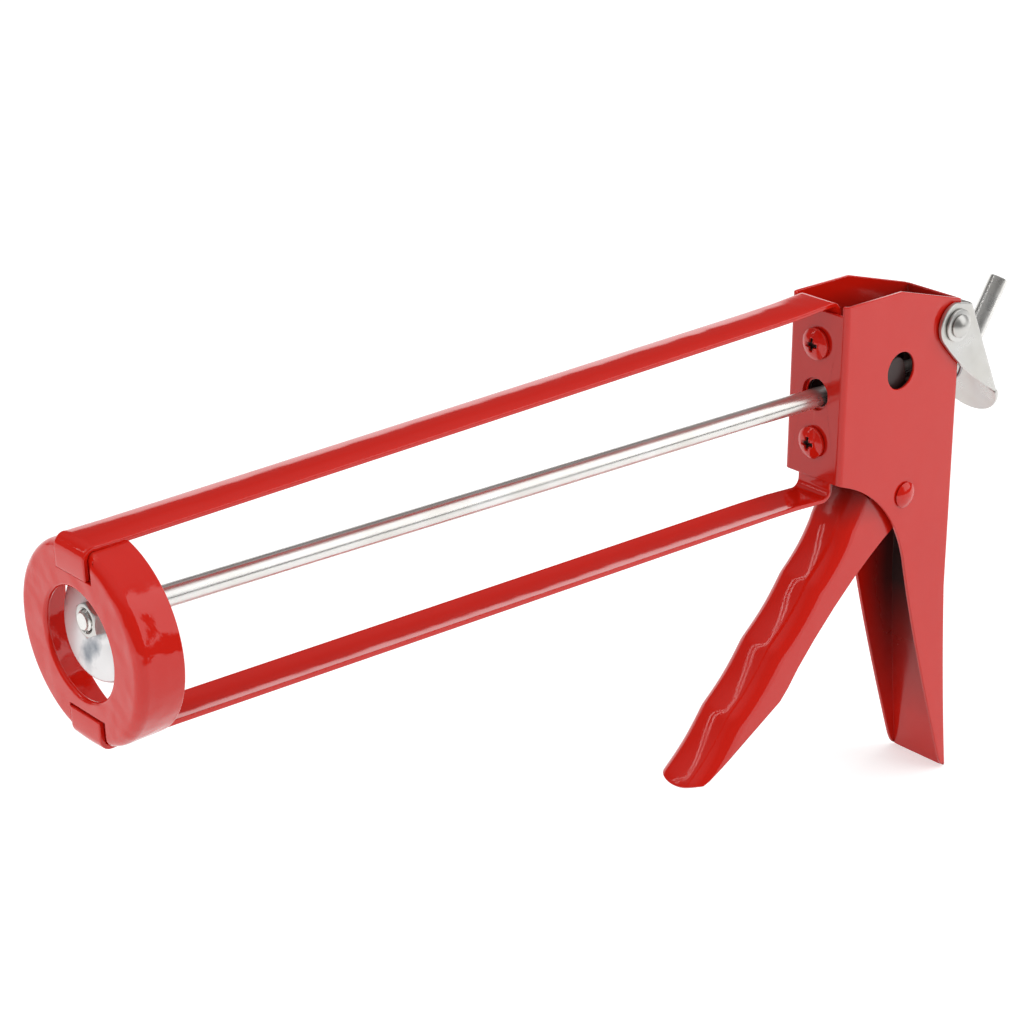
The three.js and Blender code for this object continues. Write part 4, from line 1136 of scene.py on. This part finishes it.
def strap_rows(s, r):
    """Sections along the whole strap, with rounded ends"""
    stations = strap_stations(s, r)
    tab_x = (ring_place(r) @ Vector((r.depth, 0, 0))).x
    web_run, tab_run = 0.02, 0.005  # over which the rails flatten
    ends = [(0, 0.7), (0.3, 0.2), (1, 0)]
    rows = []
    for i, (point, inward) in enumerate(stations):
        crown = s.crown * ease((point.x - FRONT_X) / web_run) * ease((tab_x - point.x) / tab_run)
        way = Vector((inward.y, -inward.x))
        caps = [(0, 0)]
        if i == 0:
            caps = ends
        if i == len(stations) - 1:
            caps = [(-shift, inset) for shift, inset in reversed(ends)]
        for shift, inset in caps:
            base = point + way * shift * s.rim
            section = band_section(s, crown, s.rim * inset)
            rows.append([(base.x + inward.x * d, y, base.y + inward.y * d) for y, d in section])
    return rows


class CAULKING_GUN_OT_strap(Build, bpy.types.Operator):
    """Build the strap that makes both rails and holds the ring by its tabs"""

    bl_idname = "caulking_gun.strap"
    bl_label = "Frame Strap"

    def build(self, gun):
        h, f = gun.handle, gun.fasteners
        band = ended("strap_band", strap_rows(gun.strap, gun.ring))
        reach = 0.006
        low, high = FRONT_X - reach, FRONT_X - h.sheet
        screw = f.screw + HOLE_GAP
        cutters = []
        for radius, z in ((h.inner_hole, h.rod_hole_z), (screw, f.upper_z), (screw, f.lower_z)):
            profile = [(low, 0), (low, radius), (high, radius), (high, 0)]
            cutters.append(turned("hole", profile, place=at(0, z)))
        carve(band, cutters)
        crease(band, 50)
        fit(band, "frame", "red_paint", red_enamel(), "frame_strap")


# ---- Screws, nuts and the trigger's rivet --------------------------------------------------------


def cross_recess(f, top, bottom):
    """Two tapered blades that meet in a cross, and a small round pit between them"""
    wide, narrow, half, pit = f.recess / 2, f.recess / 5, f.recess * 0.11, f.recess * 0.2
    outline = [(bottom, -narrow), (bottom, narrow), (top, wide), (top, -wide)]
    profile = [(bottom - 0.0002, 0), (bottom, pit * 0.6), (top, pit * 1.25), (top, 0)]
    return [
        prism("upright_blade", outline, -half, half, lambda u, v, w: (u, v, w)),
        prism("level_blade", outline, -half, half, lambda u, v, w: (u, w, v)),
        turned("pit", profile, steps=24),
    ]


def frame_screw(f, name, length_behind, z):
    """A screw whose shank reaches behind the handle's front, with its head in front"""
    rim, recess_rim, recess_depth = 0.00025, 0.00014, 0.0022
    lip = f.head_height * 0.35
    crown = SEAT_GAP + f.head_height
    dome = low_dome(SEAT_GAP + lip, f.head, f.head_height - lip)
    profile = [(-length_behind, 0), (-length_behind, f.screw - rim), (rim - length_behind, f.screw)]
    profile += [(SEAT_GAP, f.screw), (SEAT_GAP, f.head - rim), (SEAT_GAP + rim, f.head), *dome]
    screw = turned(name, profile, steps=72)
    carve(screw, cross_recess(f, crown + 0.001, crown - recess_depth))
    screw.data.transform(at(FRONT_X, z))
    soften(screw, recess_rim, segments=2, sharper_than=42)
    return screw


class CAULKING_GUN_OT_fasteners(Build, bpy.types.Operator):
    """Build the two frame screws with their nuts, and the trigger's rivet"""

    bl_idname = "caulking_gun.fasteners"
    bl_label = "Frame Screws and Trigger Rivet"

    def build(self, gun):
        f, s, h = gun.fasteners, gun.strap, gun.handle
        finish = red_enamel("Red enamel on the screws", shade_mask=painted_shade_in_recess)
        past_nut = 0.0012
        length_behind = h.sheet + s.sheet + f.nut_height + past_nut
        low = strap_back(h, s) - f.nut_height
        for where, z in (("upper", f.upper_z), ("lower", f.lower_z)):
            screw = frame_screw(f, f"cross_screw_{where}", length_behind, z)
            fit(screw, "frame", "red_paint", finish, f"frame_screw_{where}")
            bore, place = f.screw + HOLE_GAP, at(FRONT_X, z)
            nut = hex_nut(f"strap_nut_{where}", f.nut, f.nut_height, bore, low, place)
            fit(nut, "frame", "zinc_plate", metal("Zinc sheet"), f"frame_nut_{where}")
        place = at(f.pivot_x, 0)
        pin = rivet("trigger_pin", f.rivet, f.rivet_head, f.rivet_height, HALF_WIDTH, place)
        fit(pin, "frame", "red_paint", red_enamel(), "trigger_rivet")


# ---- Trigger -----------------------------------------------------------------------------------

REAR_EDGE = [
    (0.010, -0.0074),
    (0.016, -0.0058),
    (0.023, -0.0044),
    (0.032, -0.0030),
    (0.044, -0.0019),
    (0.057, -0.0014),
    (0.068, -0.0016),
    (0.0755, -0.0024),
    (0.0805, -0.0024),
]
REAR_EDGE_END = (0.118, 0.0086)


def on_slope(t, along, across):
    """X and Z of a point at a distance along the slope and a distance square to it"""
    c, s = math.cos(t.slope), math.sin(t.slope)
    return along * c + across * s, across * c - along * s


def front_at(t, along):
    """Distance of the front's middle from the slope, with its flare and finger lobes"""
    flare = max(t.flare_end - along, 0) / (t.flare_end - t.start)
    wave = math.sin(math.pi * (along - t.lobe_start) / t.lobe)
    softness = 0.12
    dip = t.lobe_depth * (math.sqrt(wave * wave + softness * softness) - softness)
    dip *= ease((along - t.lobe_start + t.lobe) / 0.006)
    return t.front + t.flare * flare * flare - dip


def trigger_columns(t):
    """The channel's section from one flange to the other: Y and depth below the front's middle"""
    spread = math.radians(8)
    large = t.corner + (t.half - t.corner) / math.sin(spread)
    columns = []
    for i in range(13):
        b = (math.pi / 2 - spread) * i / 12
        y = (large - t.corner) * math.sin(spread) + t.corner * math.cos(b)
        rise = (large - t.corner) * math.cos(spread) + t.corner * math.sin(b)
        columns.append((y, large - rise))
    for i in range(1, 9):
        across, rise = turn(large, math.pi / 2 - spread * (1 - i / 8))
        columns.append((across, large - rise))
    return columns + [(-y, depth) for y, depth in reversed(columns[:-1])]


def column_end(t, y, depth):
    """How far down the slope a column of the channel reaches"""
    round_start = t.end - t.tip
    round_end = round_start + t.tip * math.sqrt(1 - (y / (t.half + 0.0002)) ** 2)
    low, high = REAR_EDGE[-1], REAR_EDGE_END

    def above_rear_edge(along):
        rear = blend(low[1], high[1], (along - low[0]) / (high[0] - low[0]))
        return rear - (front_at(t, along) - depth)

    if above_rear_edge(high[0]) < 0:
        return round_end
    return min(crossing(above_rear_edge, low[0], high[0]), round_end)


def trigger_rows(t):
    """Points of the channel's outside, a row for each station down the slope"""
    columns = trigger_columns(t)
    even_end, spacing, last_rows = 0.1, 0.001, 24
    count = round((even_end - t.start) / spacing)
    ends = [column_end(t, y, depth) for y, depth in columns]
    reach = [[blend(t.start, even_end, i / count)] * len(ends) for i in range(count + 1)]
    for i in range(1, last_rows + 1):
        reach.append([blend(even_end, end, i / last_rows) for end in ends])
    rows = []
    for stations in reach:
        points = []
        for (y, depth), along in zip(columns, stations):
            x, z = on_slope(t, along, front_at(t, along) - depth)
            points.append((x, y, z))
        rows.append(points)
    return rows


def trigger_flange(bm, t, f, rows, side):
    """A flat flange with the hub and the arm that drives the plate"""
    column = 0 if side > 0 else -1
    y = side * t.half
    edge = [on_slope(t, *point) for point in reversed(REAR_EDGE)]
    edge += arc(t.hub, math.pi * 1.45, math.pi, 12)
    edge += arc(t.arm_head, math.pi, 0, 12, (t.arm_x, t.arm_z))
    edge.append((t.arm_x + t.arm_head, t.arm_z / 2))
    outline = [row[column] for row in rows] + [(x, y, z) for x, z in edge]
    pivot = circle((0, 0), f.rivet + HOLE_GAP, lambda x, z: (x, y, z), PIN_SIDES)
    flat_face(bm, outline, [pivot])


class CAULKING_GUN_OT_trigger(Build, bpy.types.Operator):
    """Build the trigger, a folded channel with finger lobes and two arms"""

    bl_idname = "caulking_gun.trigger"
    bl_label = "Trigger"

    def build(self, gun):
        t, f = gun.trigger, gun.fasteners
        rows = trigger_rows(t)
        bm = bmesh.new()
        quads(bm, rows)
        for side in (1, -1):
            trigger_flange(bm, t, f, rows, side)
        x, z = on_slope(t, t.flare_end, 0)
        channel = make_object("trigger_channel", bm, at(f.pivot_x, 0), inside=(x, 0, z))
        thicken(channel, t.sheet)
        soften(channel, t.rim)
        finish = red_enamel("Red enamel on the trigger", shade_mask=painted_shade_on_trigger)
        fit(channel, "trigger", "red_paint", finish, "trigger")


# ---- Push rod, plunger, drive plate and main spring ----------------------------------------------


def rod_place(d):
    """The rod's own frame: X runs along it, from the handle's front"""
    return at(FRONT_X, d.rod_z, -math.atan(d.rod_slope))


def rod_height(d, x):
    """Height of the rod's axis at a place along the handle"""
    return d.rod_z + d.rod_slope * (x - FRONT_X)


def ring_of_points(x, z, lean, radius, count):
    """A circle of points square to a line that climbs rearward by an angle"""
    s, c = math.sin(lean), math.cos(lean)
    return circle((0, 0), radius, lambda v, w: (x + w * s, v, z + w * c), count)


def rod_rows(d, count=48):
    """Circles from the hook's cut end to the threaded end"""
    rim, end_run, start_run, end_cut = 0.0003, 0.0008, 0.001, 0.0006

    def hook_point(run):
        bent = min(run / d.hook_radius, d.hook_angle)
        rest = run - bent * d.hook_radius
        x = d.hook_start - d.hook_radius * math.sin(bent) - rest * math.cos(bent)
        z = d.hook_radius * (1 - math.cos(bent)) + rest * math.sin(bent)
        return x, z, bent

    bend = d.hook_radius * d.hook_angle
    whole = bend + d.hook_leg
    runs = [(whole, 0), (whole, d.rod - rim), (whole - rim, d.rod)]
    runs += [(bend * (1 - i / 20), d.rod) for i in range(21)]
    rows = [ring_of_points(*hook_point(run), radius, count) for run, radius in runs]
    thread_start = d.rod_end - d.thread_length
    rows.append(ring_of_points(thread_start - 0.0004, 0, 0, d.rod, count))
    steps = round(d.thread_length / d.pitch * 10)
    depth = d.pitch * 0.55
    for i in range(steps + 1):
        x = blend(thread_start, d.rod_end, i / steps)
        near_end = ease((d.rod_end - x) / end_run)
        fade = near_end * ease((x - thread_start) / start_run)
        row = []
        for k in range(count):
            phase = ((x - thread_start) / d.pitch - k / count) % 1
            groove = min(max(abs(2 * phase - 1) * 1.3 - 0.15, 0), 1)
            radius = d.thread - depth * (1 - groove) * fade - end_cut * (1 - near_end)
            row.append((x, *turn(radius, 2 * math.pi * k / count)))
        rows.append(row)
    rows.append([(d.rod_end, 0, 0)] * count)
    return rows


def plunger_places(d):
    """Distances along the rod of the plate's middle and of both nuts"""
    corner = d.nut / math.sqrt(3)
    half = d.plunger_sheet / 2
    tilt = d.plunger_tilt
    standoff = (corner + half * math.sin(tilt)) * math.tan(tilt) + half * math.cos(tilt) + SEAT_GAP
    front = d.rod_end - 0.001 - d.nut_height
    return front - standoff, front, front - 2 * standoff - d.nut_height


def plunger_profile(d):
    """Section of the dished plate: a flat seat, a soft step, the dish and a turned rim"""
    half, loose, nick = d.plunger_sheet / 2, 0.0007, 0.0002
    step_depth, step_run, dishing = 0.0004, 0.0012, 1.7
    bore = d.thread / math.cos(d.plunger_tilt) + loose
    front = [(half - nick, bore), (half, bore + nick)]
    for i in range(25):
        r = blend(bore + 2 * nick, d.plunger - half, i / 24)
        share = max(r - d.seat, 0) / (d.plunger - d.seat)
        drop = step_depth * ease((r - d.seat) / step_run)
        front.append((half - d.plunger_dome * share**dishing - drop, r))
    x_end, r_end = front[-1]
    rim = arc(half, RIGHT_ANGLE, -RIGHT_ANGLE, 8)[1:-1]
    rim = [(x_end - half + along, r_end + out) for out, along in rim]
    return front + rim + [(x - d.plunger_sheet, r) for x, r in reversed(front)]


class CAULKING_GUN_OT_rod(Build, bpy.types.Operator):
    """Build the push rod with its pull hook and cut thread"""

    bl_idname = "caulking_gun.rod"
    bl_label = "Push Rod"

    def build(self, gun):
        d = gun.drive
        bm = bmesh.new()
        quads(bm, rod_rows(d), closed=True)
        rod = make_object("push_bar", bm, rod_place(d))
        crease(rod, 40)
        fit(rod, "rod", "zinc_plate", metal("Drawn zinc rod"), "push_rod")


class CAULKING_GUN_OT_plunger(Build, bpy.types.Operator):
    """Build the loose plunger plate and the nuts that hold it"""

    bl_idname = "caulking_gun.plunger"
    bl_label = "Plunger"

    def build(self, gun):
        d = gun.drive
        middle, front, back = plunger_places(d)
        turned_by = Matrix.Rotation(d.plunger_turn, 4, "Z")
        tilted = Matrix.Rotation(-d.plunger_tilt, 4, "Y") @ turned_by
        place = rod_place(d) @ Matrix.Translation((middle, 0, 0)) @ tilted
        disc = turned("plunger_disc", plunger_profile(d), steps=96, place=place, closed=True)
        fit(disc, "plunger", "zinc_plate", metal("Mottled zinc"), "plunger_plate")
        bore = d.thread + HOLE_GAP
        for name, low in (("front", front), ("back", back)):
            nut = hex_nut(f"rod_nut_{name}", d.nut, d.nut_height, bore, low, rod_place(d))
            fit(nut, "rod", "zinc_plate", metal("Zinc sheet"), f"plunger_nut_{name}")


class CAULKING_GUN_OT_drive(Build, bpy.types.Operator):
    """Build the drive plate that grips the rod, and the spring that returns it"""

    bl_idname = "caulking_gun.drive_plate"
    bl_label = "Drive Plate and Spring"

    def build(self, gun):
        d, t, h, s = gun.drive, gun.trigger, gun.handle, gun.strap
        corner, rim = 0.003, 0.0003
        corners = rounded_corners(t.half, d.plate_height / 2, corner, 6)
        high = d.plate_rear + d.plate
        bm = bmesh.new()
        rims = []
        for x in (d.plate_rear, high):
            face = [(x, y, z) for points in corners for y, z in points]
            hole = circle((0, 0), d.rod + ROD_GAP, lambda y, z: (x, y, z))
            flat_face(bm, face, [hole])
            rims.append((face, hole))
        for a, b in zip(*rims):
            quads(bm, [a, b], closed=True)
        plate = make_object("grip_plate", bm, rod_place(d))
        soften(plate, rim)
        fit(plate, "drive", "hardened_steel", metal("Dark steel"), "drive_plate")
        web = strap_back(h, s)
        spring = coil("return_spring", d.spring, d.wire, d.turns, high + SEAT_GAP, web, rod_place(d))
        fit(spring, "frame", "spring_steel", metal("Spring wire"), "main_spring")
        anchor = rod_place(d) @ Vector((web, 0, 0))
        axis = rod_place(d).to_3x3() @ Vector((1, 0, 0))
        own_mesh(spring)


# ---- Thumb release -------------------------------------------------------------------------------


def lever_ear(bm, v, side):
    """One ear with its fold into the web, about the lever's own rivet"""
    outer = HALF_WIDTH + v.gap + v.sheet
    first, last = -0.35, 0.62 * math.pi
    tip = turn(v.ear, last)
    slope = (tip[1] - v.web_top) / (tip[0] + v.web)
    foot = (v.sheet - v.web, v.ear_foot)
    middle = (0.003, v.ear_foot * 0.52)

    def front_edge(t):
        return bezier(foot, middle, turn(v.ear, first), t)

    columns = []
    for i in range(9):
        across, along = turn(v.fold, RIGHT_ANGLE * i / 8)
        x = v.fold - along - v.web
        low = v.ear_foot
        if x > foot[0]:
            low = front_edge(crossing(lambda t: front_edge(t)[0] - x))[1]
        y = side * (outer - v.fold + across)
        columns.append([(x, y, low), (x, y, v.web_top + (x + v.web) * slope)])
    quads(bm, columns)
    start = crossing(lambda t: front_edge(t)[0] - (v.fold - v.web))
    edge = [front_edge(blend(start, 1, i / 16)) for i in range(1, 16)]
    edge += arc(v.ear, first, last, 30)
    outline = [columns[0][0]] + [(x, side * outer, z) for x, z in edge] + [columns[0][1]]
    pivot = circle((0, 0), v.rivet + HOLE_GAP, lambda x, z: (x, side * outer, z), PIN_SIDES)
    flat_face(bm, outline, [pivot])


def slot_in_web(v, d):
    """Lowest and highest place of the rod where it crosses the web, from rest to pressed"""
    travel = math.radians(joint("lever_release")["range_deg"][1])
    middle = v.sheet / 2 - v.web
    rod_here = rod_height(d, v.pivot_x) - v.pivot_z
    ends = []
    for lean, sign in ((v.lean, -1), (v.lean - travel, 1)):
        s, c = math.sin(lean), math.cos(lean)
        x = (middle + rod_here * s) / (c - d.rod_slope * s)
        height = x * s + (rod_here + d.rod_slope * x) * c
        reach = (d.rod + ROD_GAP) / c + v.sheet / 2 * math.tan(lean)
        ends.append(height + sign * (reach - d.rod - ROD_GAP))
    return ends


class CAULKING_GUN_OT_lever(Build, bpy.types.Operator):
    """Build the thumb release with its rivet, washers and spring"""

    bl_idname = "caulking_gun.lever"
    bl_label = "Thumb Release"

    def build(self, gun):
        v, d = gun.lever, gun.drive
        place = at(v.pivot_x, v.pivot_z)
        outer = HALF_WIDTH + v.gap + v.sheet
        bm = bmesh.new()
        for side in (1, -1):
            lever_ear(bm, v, side)
        tab_inset = 0.0006
        inner, tab = outer - v.fold, outer - tab_inset
        outline = [(inner, v.web_top), (-inner, v.web_top), (-inner, v.ear_foot)]
        for across, down in arc(1, math.radians(184), math.radians(356), 24):
            outline.append((tab * across, v.ear_foot + down * (v.ear_foot - v.tab_end)))
        outline.append((inner, v.ear_foot))
        low, high = slot_in_web(v, d)
        wide = d.rod + ROD_GAP
        slot = arc(wide, 0, math.pi, 12)
        slot = [(y, z + high) for y, z in slot] + [(-y, low - z) for y, z in slot]
        web = [[(-v.web, y, z) for y, z in loop] for loop in (outline, slot)]
        flat_face(bm, web[0], web[1:])
        inside = (-v.web / 2, 0, v.ear_foot / 2)
        leaning = place @ Matrix.Rotation(v.lean, 4, "Y")
        release = make_object("thumb_release", bm, leaning, inside=inside)
        thicken(release, v.sheet)
        soften(release, v.rim)
        fit(release, "lever", "zinc_plate", metal("Zinc sheet"), "release_lever")

        grip = outer + SEAT_GAP + v.washer_sheet
        pin = rivet("release_pin", v.rivet, v.rivet_head, v.rivet_height, grip, place)
        fit(pin, "frame", "zinc_plate", metal("Zinc sheet"), "lever_rivet")
        near, bore = outer + SEAT_GAP, v.rivet + HOLE_GAP
        for name, side in (("left", 1), ("right", -1)):
            low, high = sorted((side * near, side * (near + v.washer_sheet)))
            ring = washer(f"rivet_washer_{name}", v.washer, bore, low, high, place @ ALONG_Y)
            fit(ring, "frame", "zinc_plate", metal("Zinc sheet"), f"lever_washer_{name}")

        low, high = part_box("lever_spring")[0].x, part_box("lever_spring")[1].x
        rod_z = rod_height(d, 0)
        spring = coil("release_spring", v.spring, d.wire, v.turns, low, high, at(0, rod_z))
        fit(spring, "frame", "spring_steel", metal("Spring wire"), "lever_spring")
        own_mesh(spring)


# ---- Stage -------------------------------------------------------------------------------------


def towards(direction, distance, centre):
    return Vector(centre) + Vector(direction).normalized() * distance


def stand(name, data):
    """Puts a light or camera in the scene"""
    obj = bpy.data.objects.new(name, data)
    bpy.context.scene.collection.objects.link(obj)
    return obj


def add_light(name, place, target, size, power, along=None, seen=True):
    light = bpy.data.lights.new(name, "AREA")
    light.shape = "RECTANGLE"
    light.size, light.size_y = size
    light.energy = power
    obj = stand(name, light)
    obj.location = place
    facing = (Vector(place) - Vector(target)).normalized()
    side = Vector(along).cross(facing).normalized() if along else facing.orthogonal().normalized()
    up = facing.cross(side)
    obj.rotation_euler = Matrix((side, up, facing)).transposed().to_euler()
    obj.visible_camera = False
    obj.visible_glossy = seen


def shown_rays(tree):
    """1 for rays that show the background: from the camera, in reflections and through glass"""
    path = tree.nodes.new("ShaderNodeLightPath")
    total = path.outputs["Is Camera Ray"]
    for ray in ("Is Glossy Ray", "Is Transmission Ray"):
        total = calculate(tree, "MAXIMUM", total, path.outputs[ray])
    return total


def studio_floor(stage):
    material = bpy.data.materials.new("Pale floor")
    material.use_nodes = True
    tree = material.node_tree
    tree.nodes.clear()
    matt = add_node(tree, "ShaderNodeBsdfDiffuse", {"Color": stage.floor})
    strength = product(tree, shown_rays(tree), stage.glow)
    glow = add_node(tree, "ShaderNodeEmission", {"Strength": strength})
    both = add_node(tree, "ShaderNodeAddShader", {0: matt.outputs[0], 1: glow.outputs[0]})
    add_node(tree, "ShaderNodeOutputMaterial", {"Surface": both.outputs[0]})
    return material


def studio_world(stage):
    """White for the camera, even light for matt faces, and for reflections a bright backdrop low
    behind the gun in a dim room"""
    world = bpy.data.worlds.new("Studio")
    bpy.context.scene.world = world
    world.use_nodes = True
    tree = world.node_tree
    tree.nodes.clear()
    where = add_node(tree, "ShaderNodeTexCoord").outputs["Generated"]
    height = axes(tree, where)["Z"]
    behind_gun = (-0.62, -0.78, 0)
    backdrop_side, backdrop_top, ceiling_edge = (0.55, 0.8), (0.27, 0.22), (0.5, 0.9)
    sides = {0: where, 1: behind_gun}
    behind = add_node(tree, "ShaderNodeVectorMath", sides, operation="DOT_PRODUCT").outputs["Value"]
    backdrop = product(tree, step(tree, behind, *backdrop_side), step(tree, height, *backdrop_top))
    dim = ranged(tree, step(tree, height, *ceiling_edge), stage.room, stage.ceiling)
    seen = tree.nodes.new("ShaderNodeLightPath").outputs["Is Camera Ray"]
    bright = calculate(tree, "MAXIMUM", seen, ranged(tree, backdrop, dim, stage.backdrop))
    ambient = product(tree, calculate(tree, "SUBTRACT", 1, shown_rays(tree)), stage.ambient)
    strength = calculate(tree, "MULTIPLY_ADD", bright, shown_rays(tree), ambient)
    light = add_node(tree, "ShaderNodeBackground", {"Color": (1, 1, 1, 1), "Strength": strength})
    add_node(tree, "ShaderNodeOutputWorld", {"Surface": light.outputs[0]})


class CAULKING_GUN_OT_stage(Build, bpy.types.Operator):
    """Set up the floor, lights and camera"""

    bl_idname = "caulking_gun.stage"
    bl_label = "Stage"

    def build(self, gun):
        stage = gun.stage
        low, reach, left_edge = CAD_BOX[0].z - SEAT_GAP, 4, 0.7
        corners = [(-reach, -reach), (reach, -reach), (reach, left_edge), (-reach, left_edge)]
        bm = bmesh.new()
        flat_face(bm, [(x, y, low) for x, y in corners])
        ground = make_object("studio_floor", bm)
        ground.data.materials.append(studio_floor(stage))
        studio_world(stage)

        middle = (CAD_BOX[0] + CAD_BOX[1]) / 2
        overhead = towards((-0.55, 0, 0.88), 1.5, middle)
        add_light("Overhead panel", overhead, middle, (1.0, 0.9), stage.overhead, seen=False)
        beside = towards((-0.6, 0.62, 0.5), 1.5, middle)
        add_light("Side panel", beside, middle, (1.2, 1.4), stage.side, along=(0, 0, 1))
        ring = Vector((CAD_BOX[1].x, 0, middle.z))
        ahead = towards((1, 0.1, 0.3), 0.5, ring)
        add_light("Fill", ahead, ring, (0.4, 0.4), stage.fill, seen=False)
        way = Vector((0.52, -0.536, 0.663))
        for name, shift in (("left", -0.05), ("right", 0.05)):
            place = towards(way, 1.3, middle) + way.cross((0, 0, 1)).normalized() * shift
            add_light(f"Strip {name}", place, middle, (0.03, 0.9), stage.strip, along=(0, 0, 1))

        camera = bpy.data.cameras.new("Camera")
        camera.lens = stage.lens
        camera.sensor_width = 36
        target = Vector((stage.target_x, stage.target_y, stage.target_z))
        around, up = stage.azimuth, stage.elevation
        back = Vector((math.sin(around), -math.cos(around), math.tan(up))).normalized()
        obj = stand("Camera", camera)
        obj.location = target + back * stage.distance
        obj.rotation_euler = back.to_track_quat("Z", "Y").to_euler()
        bpy.context.scene.camera = obj
        bpy.context.scene.view_settings.view_transform = "Standard"


# ---- Panel and registration ----------------------------------------------------------------------

OPERATORS = (
    CAULKING_GUN_OT_handle,
    CAULKING_GUN_OT_ring,
    CAULKING_GUN_OT_strap,
    CAULKING_GUN_OT_fasteners,
    CAULKING_GUN_OT_trigger,
    CAULKING_GUN_OT_rod,
    CAULKING_GUN_OT_plunger,
    CAULKING_GUN_OT_drive,
    CAULKING_GUN_OT_lever,
    CAULKING_GUN_OT_stage,
)


class CAULKING_GUN_PT_sidebar(bpy.types.Panel):
    """Sizes, colours and build buttons of the caulking gun"""

    bl_idname = "CAULKING_GUN_PT_sidebar"
    bl_label = "Caulking Gun"
    bl_space_type = "VIEW_3D"
    bl_region_type = "UI"
    bl_category = "Caulking Gun"

    def draw(self, context):
        for operator in OPERATORS:
            self.layout.operator(operator.bl_idname)
        for name, kind in GROUPS.items():
            box = self.layout.box()
            box.label(text=name.capitalize())
            for key in kind.__annotations__:
                box.prop(getattr(context.scene.caulking_gun, name), key)


CLASSES = (*GROUPS.values(), CaulkingGunSettings, *OPERATORS, CAULKING_GUN_PT_sidebar)


def register():
    for cls in CLASSES:
        bpy.utils.register_class(cls)
    bpy.types.Scene.caulking_gun = bpy.props.PointerProperty(type=CaulkingGunSettings)


def unregister():
    del bpy.types.Scene.caulking_gun
    for cls in reversed(CLASSES):
        bpy.utils.unregister_class(cls)


def main():
    register()
    for operator in OPERATORS:
        family, action = operator.bl_idname.split(".")
        getattr(getattr(bpy.ops, family), action)()


if __name__ == "__main__":
    main()
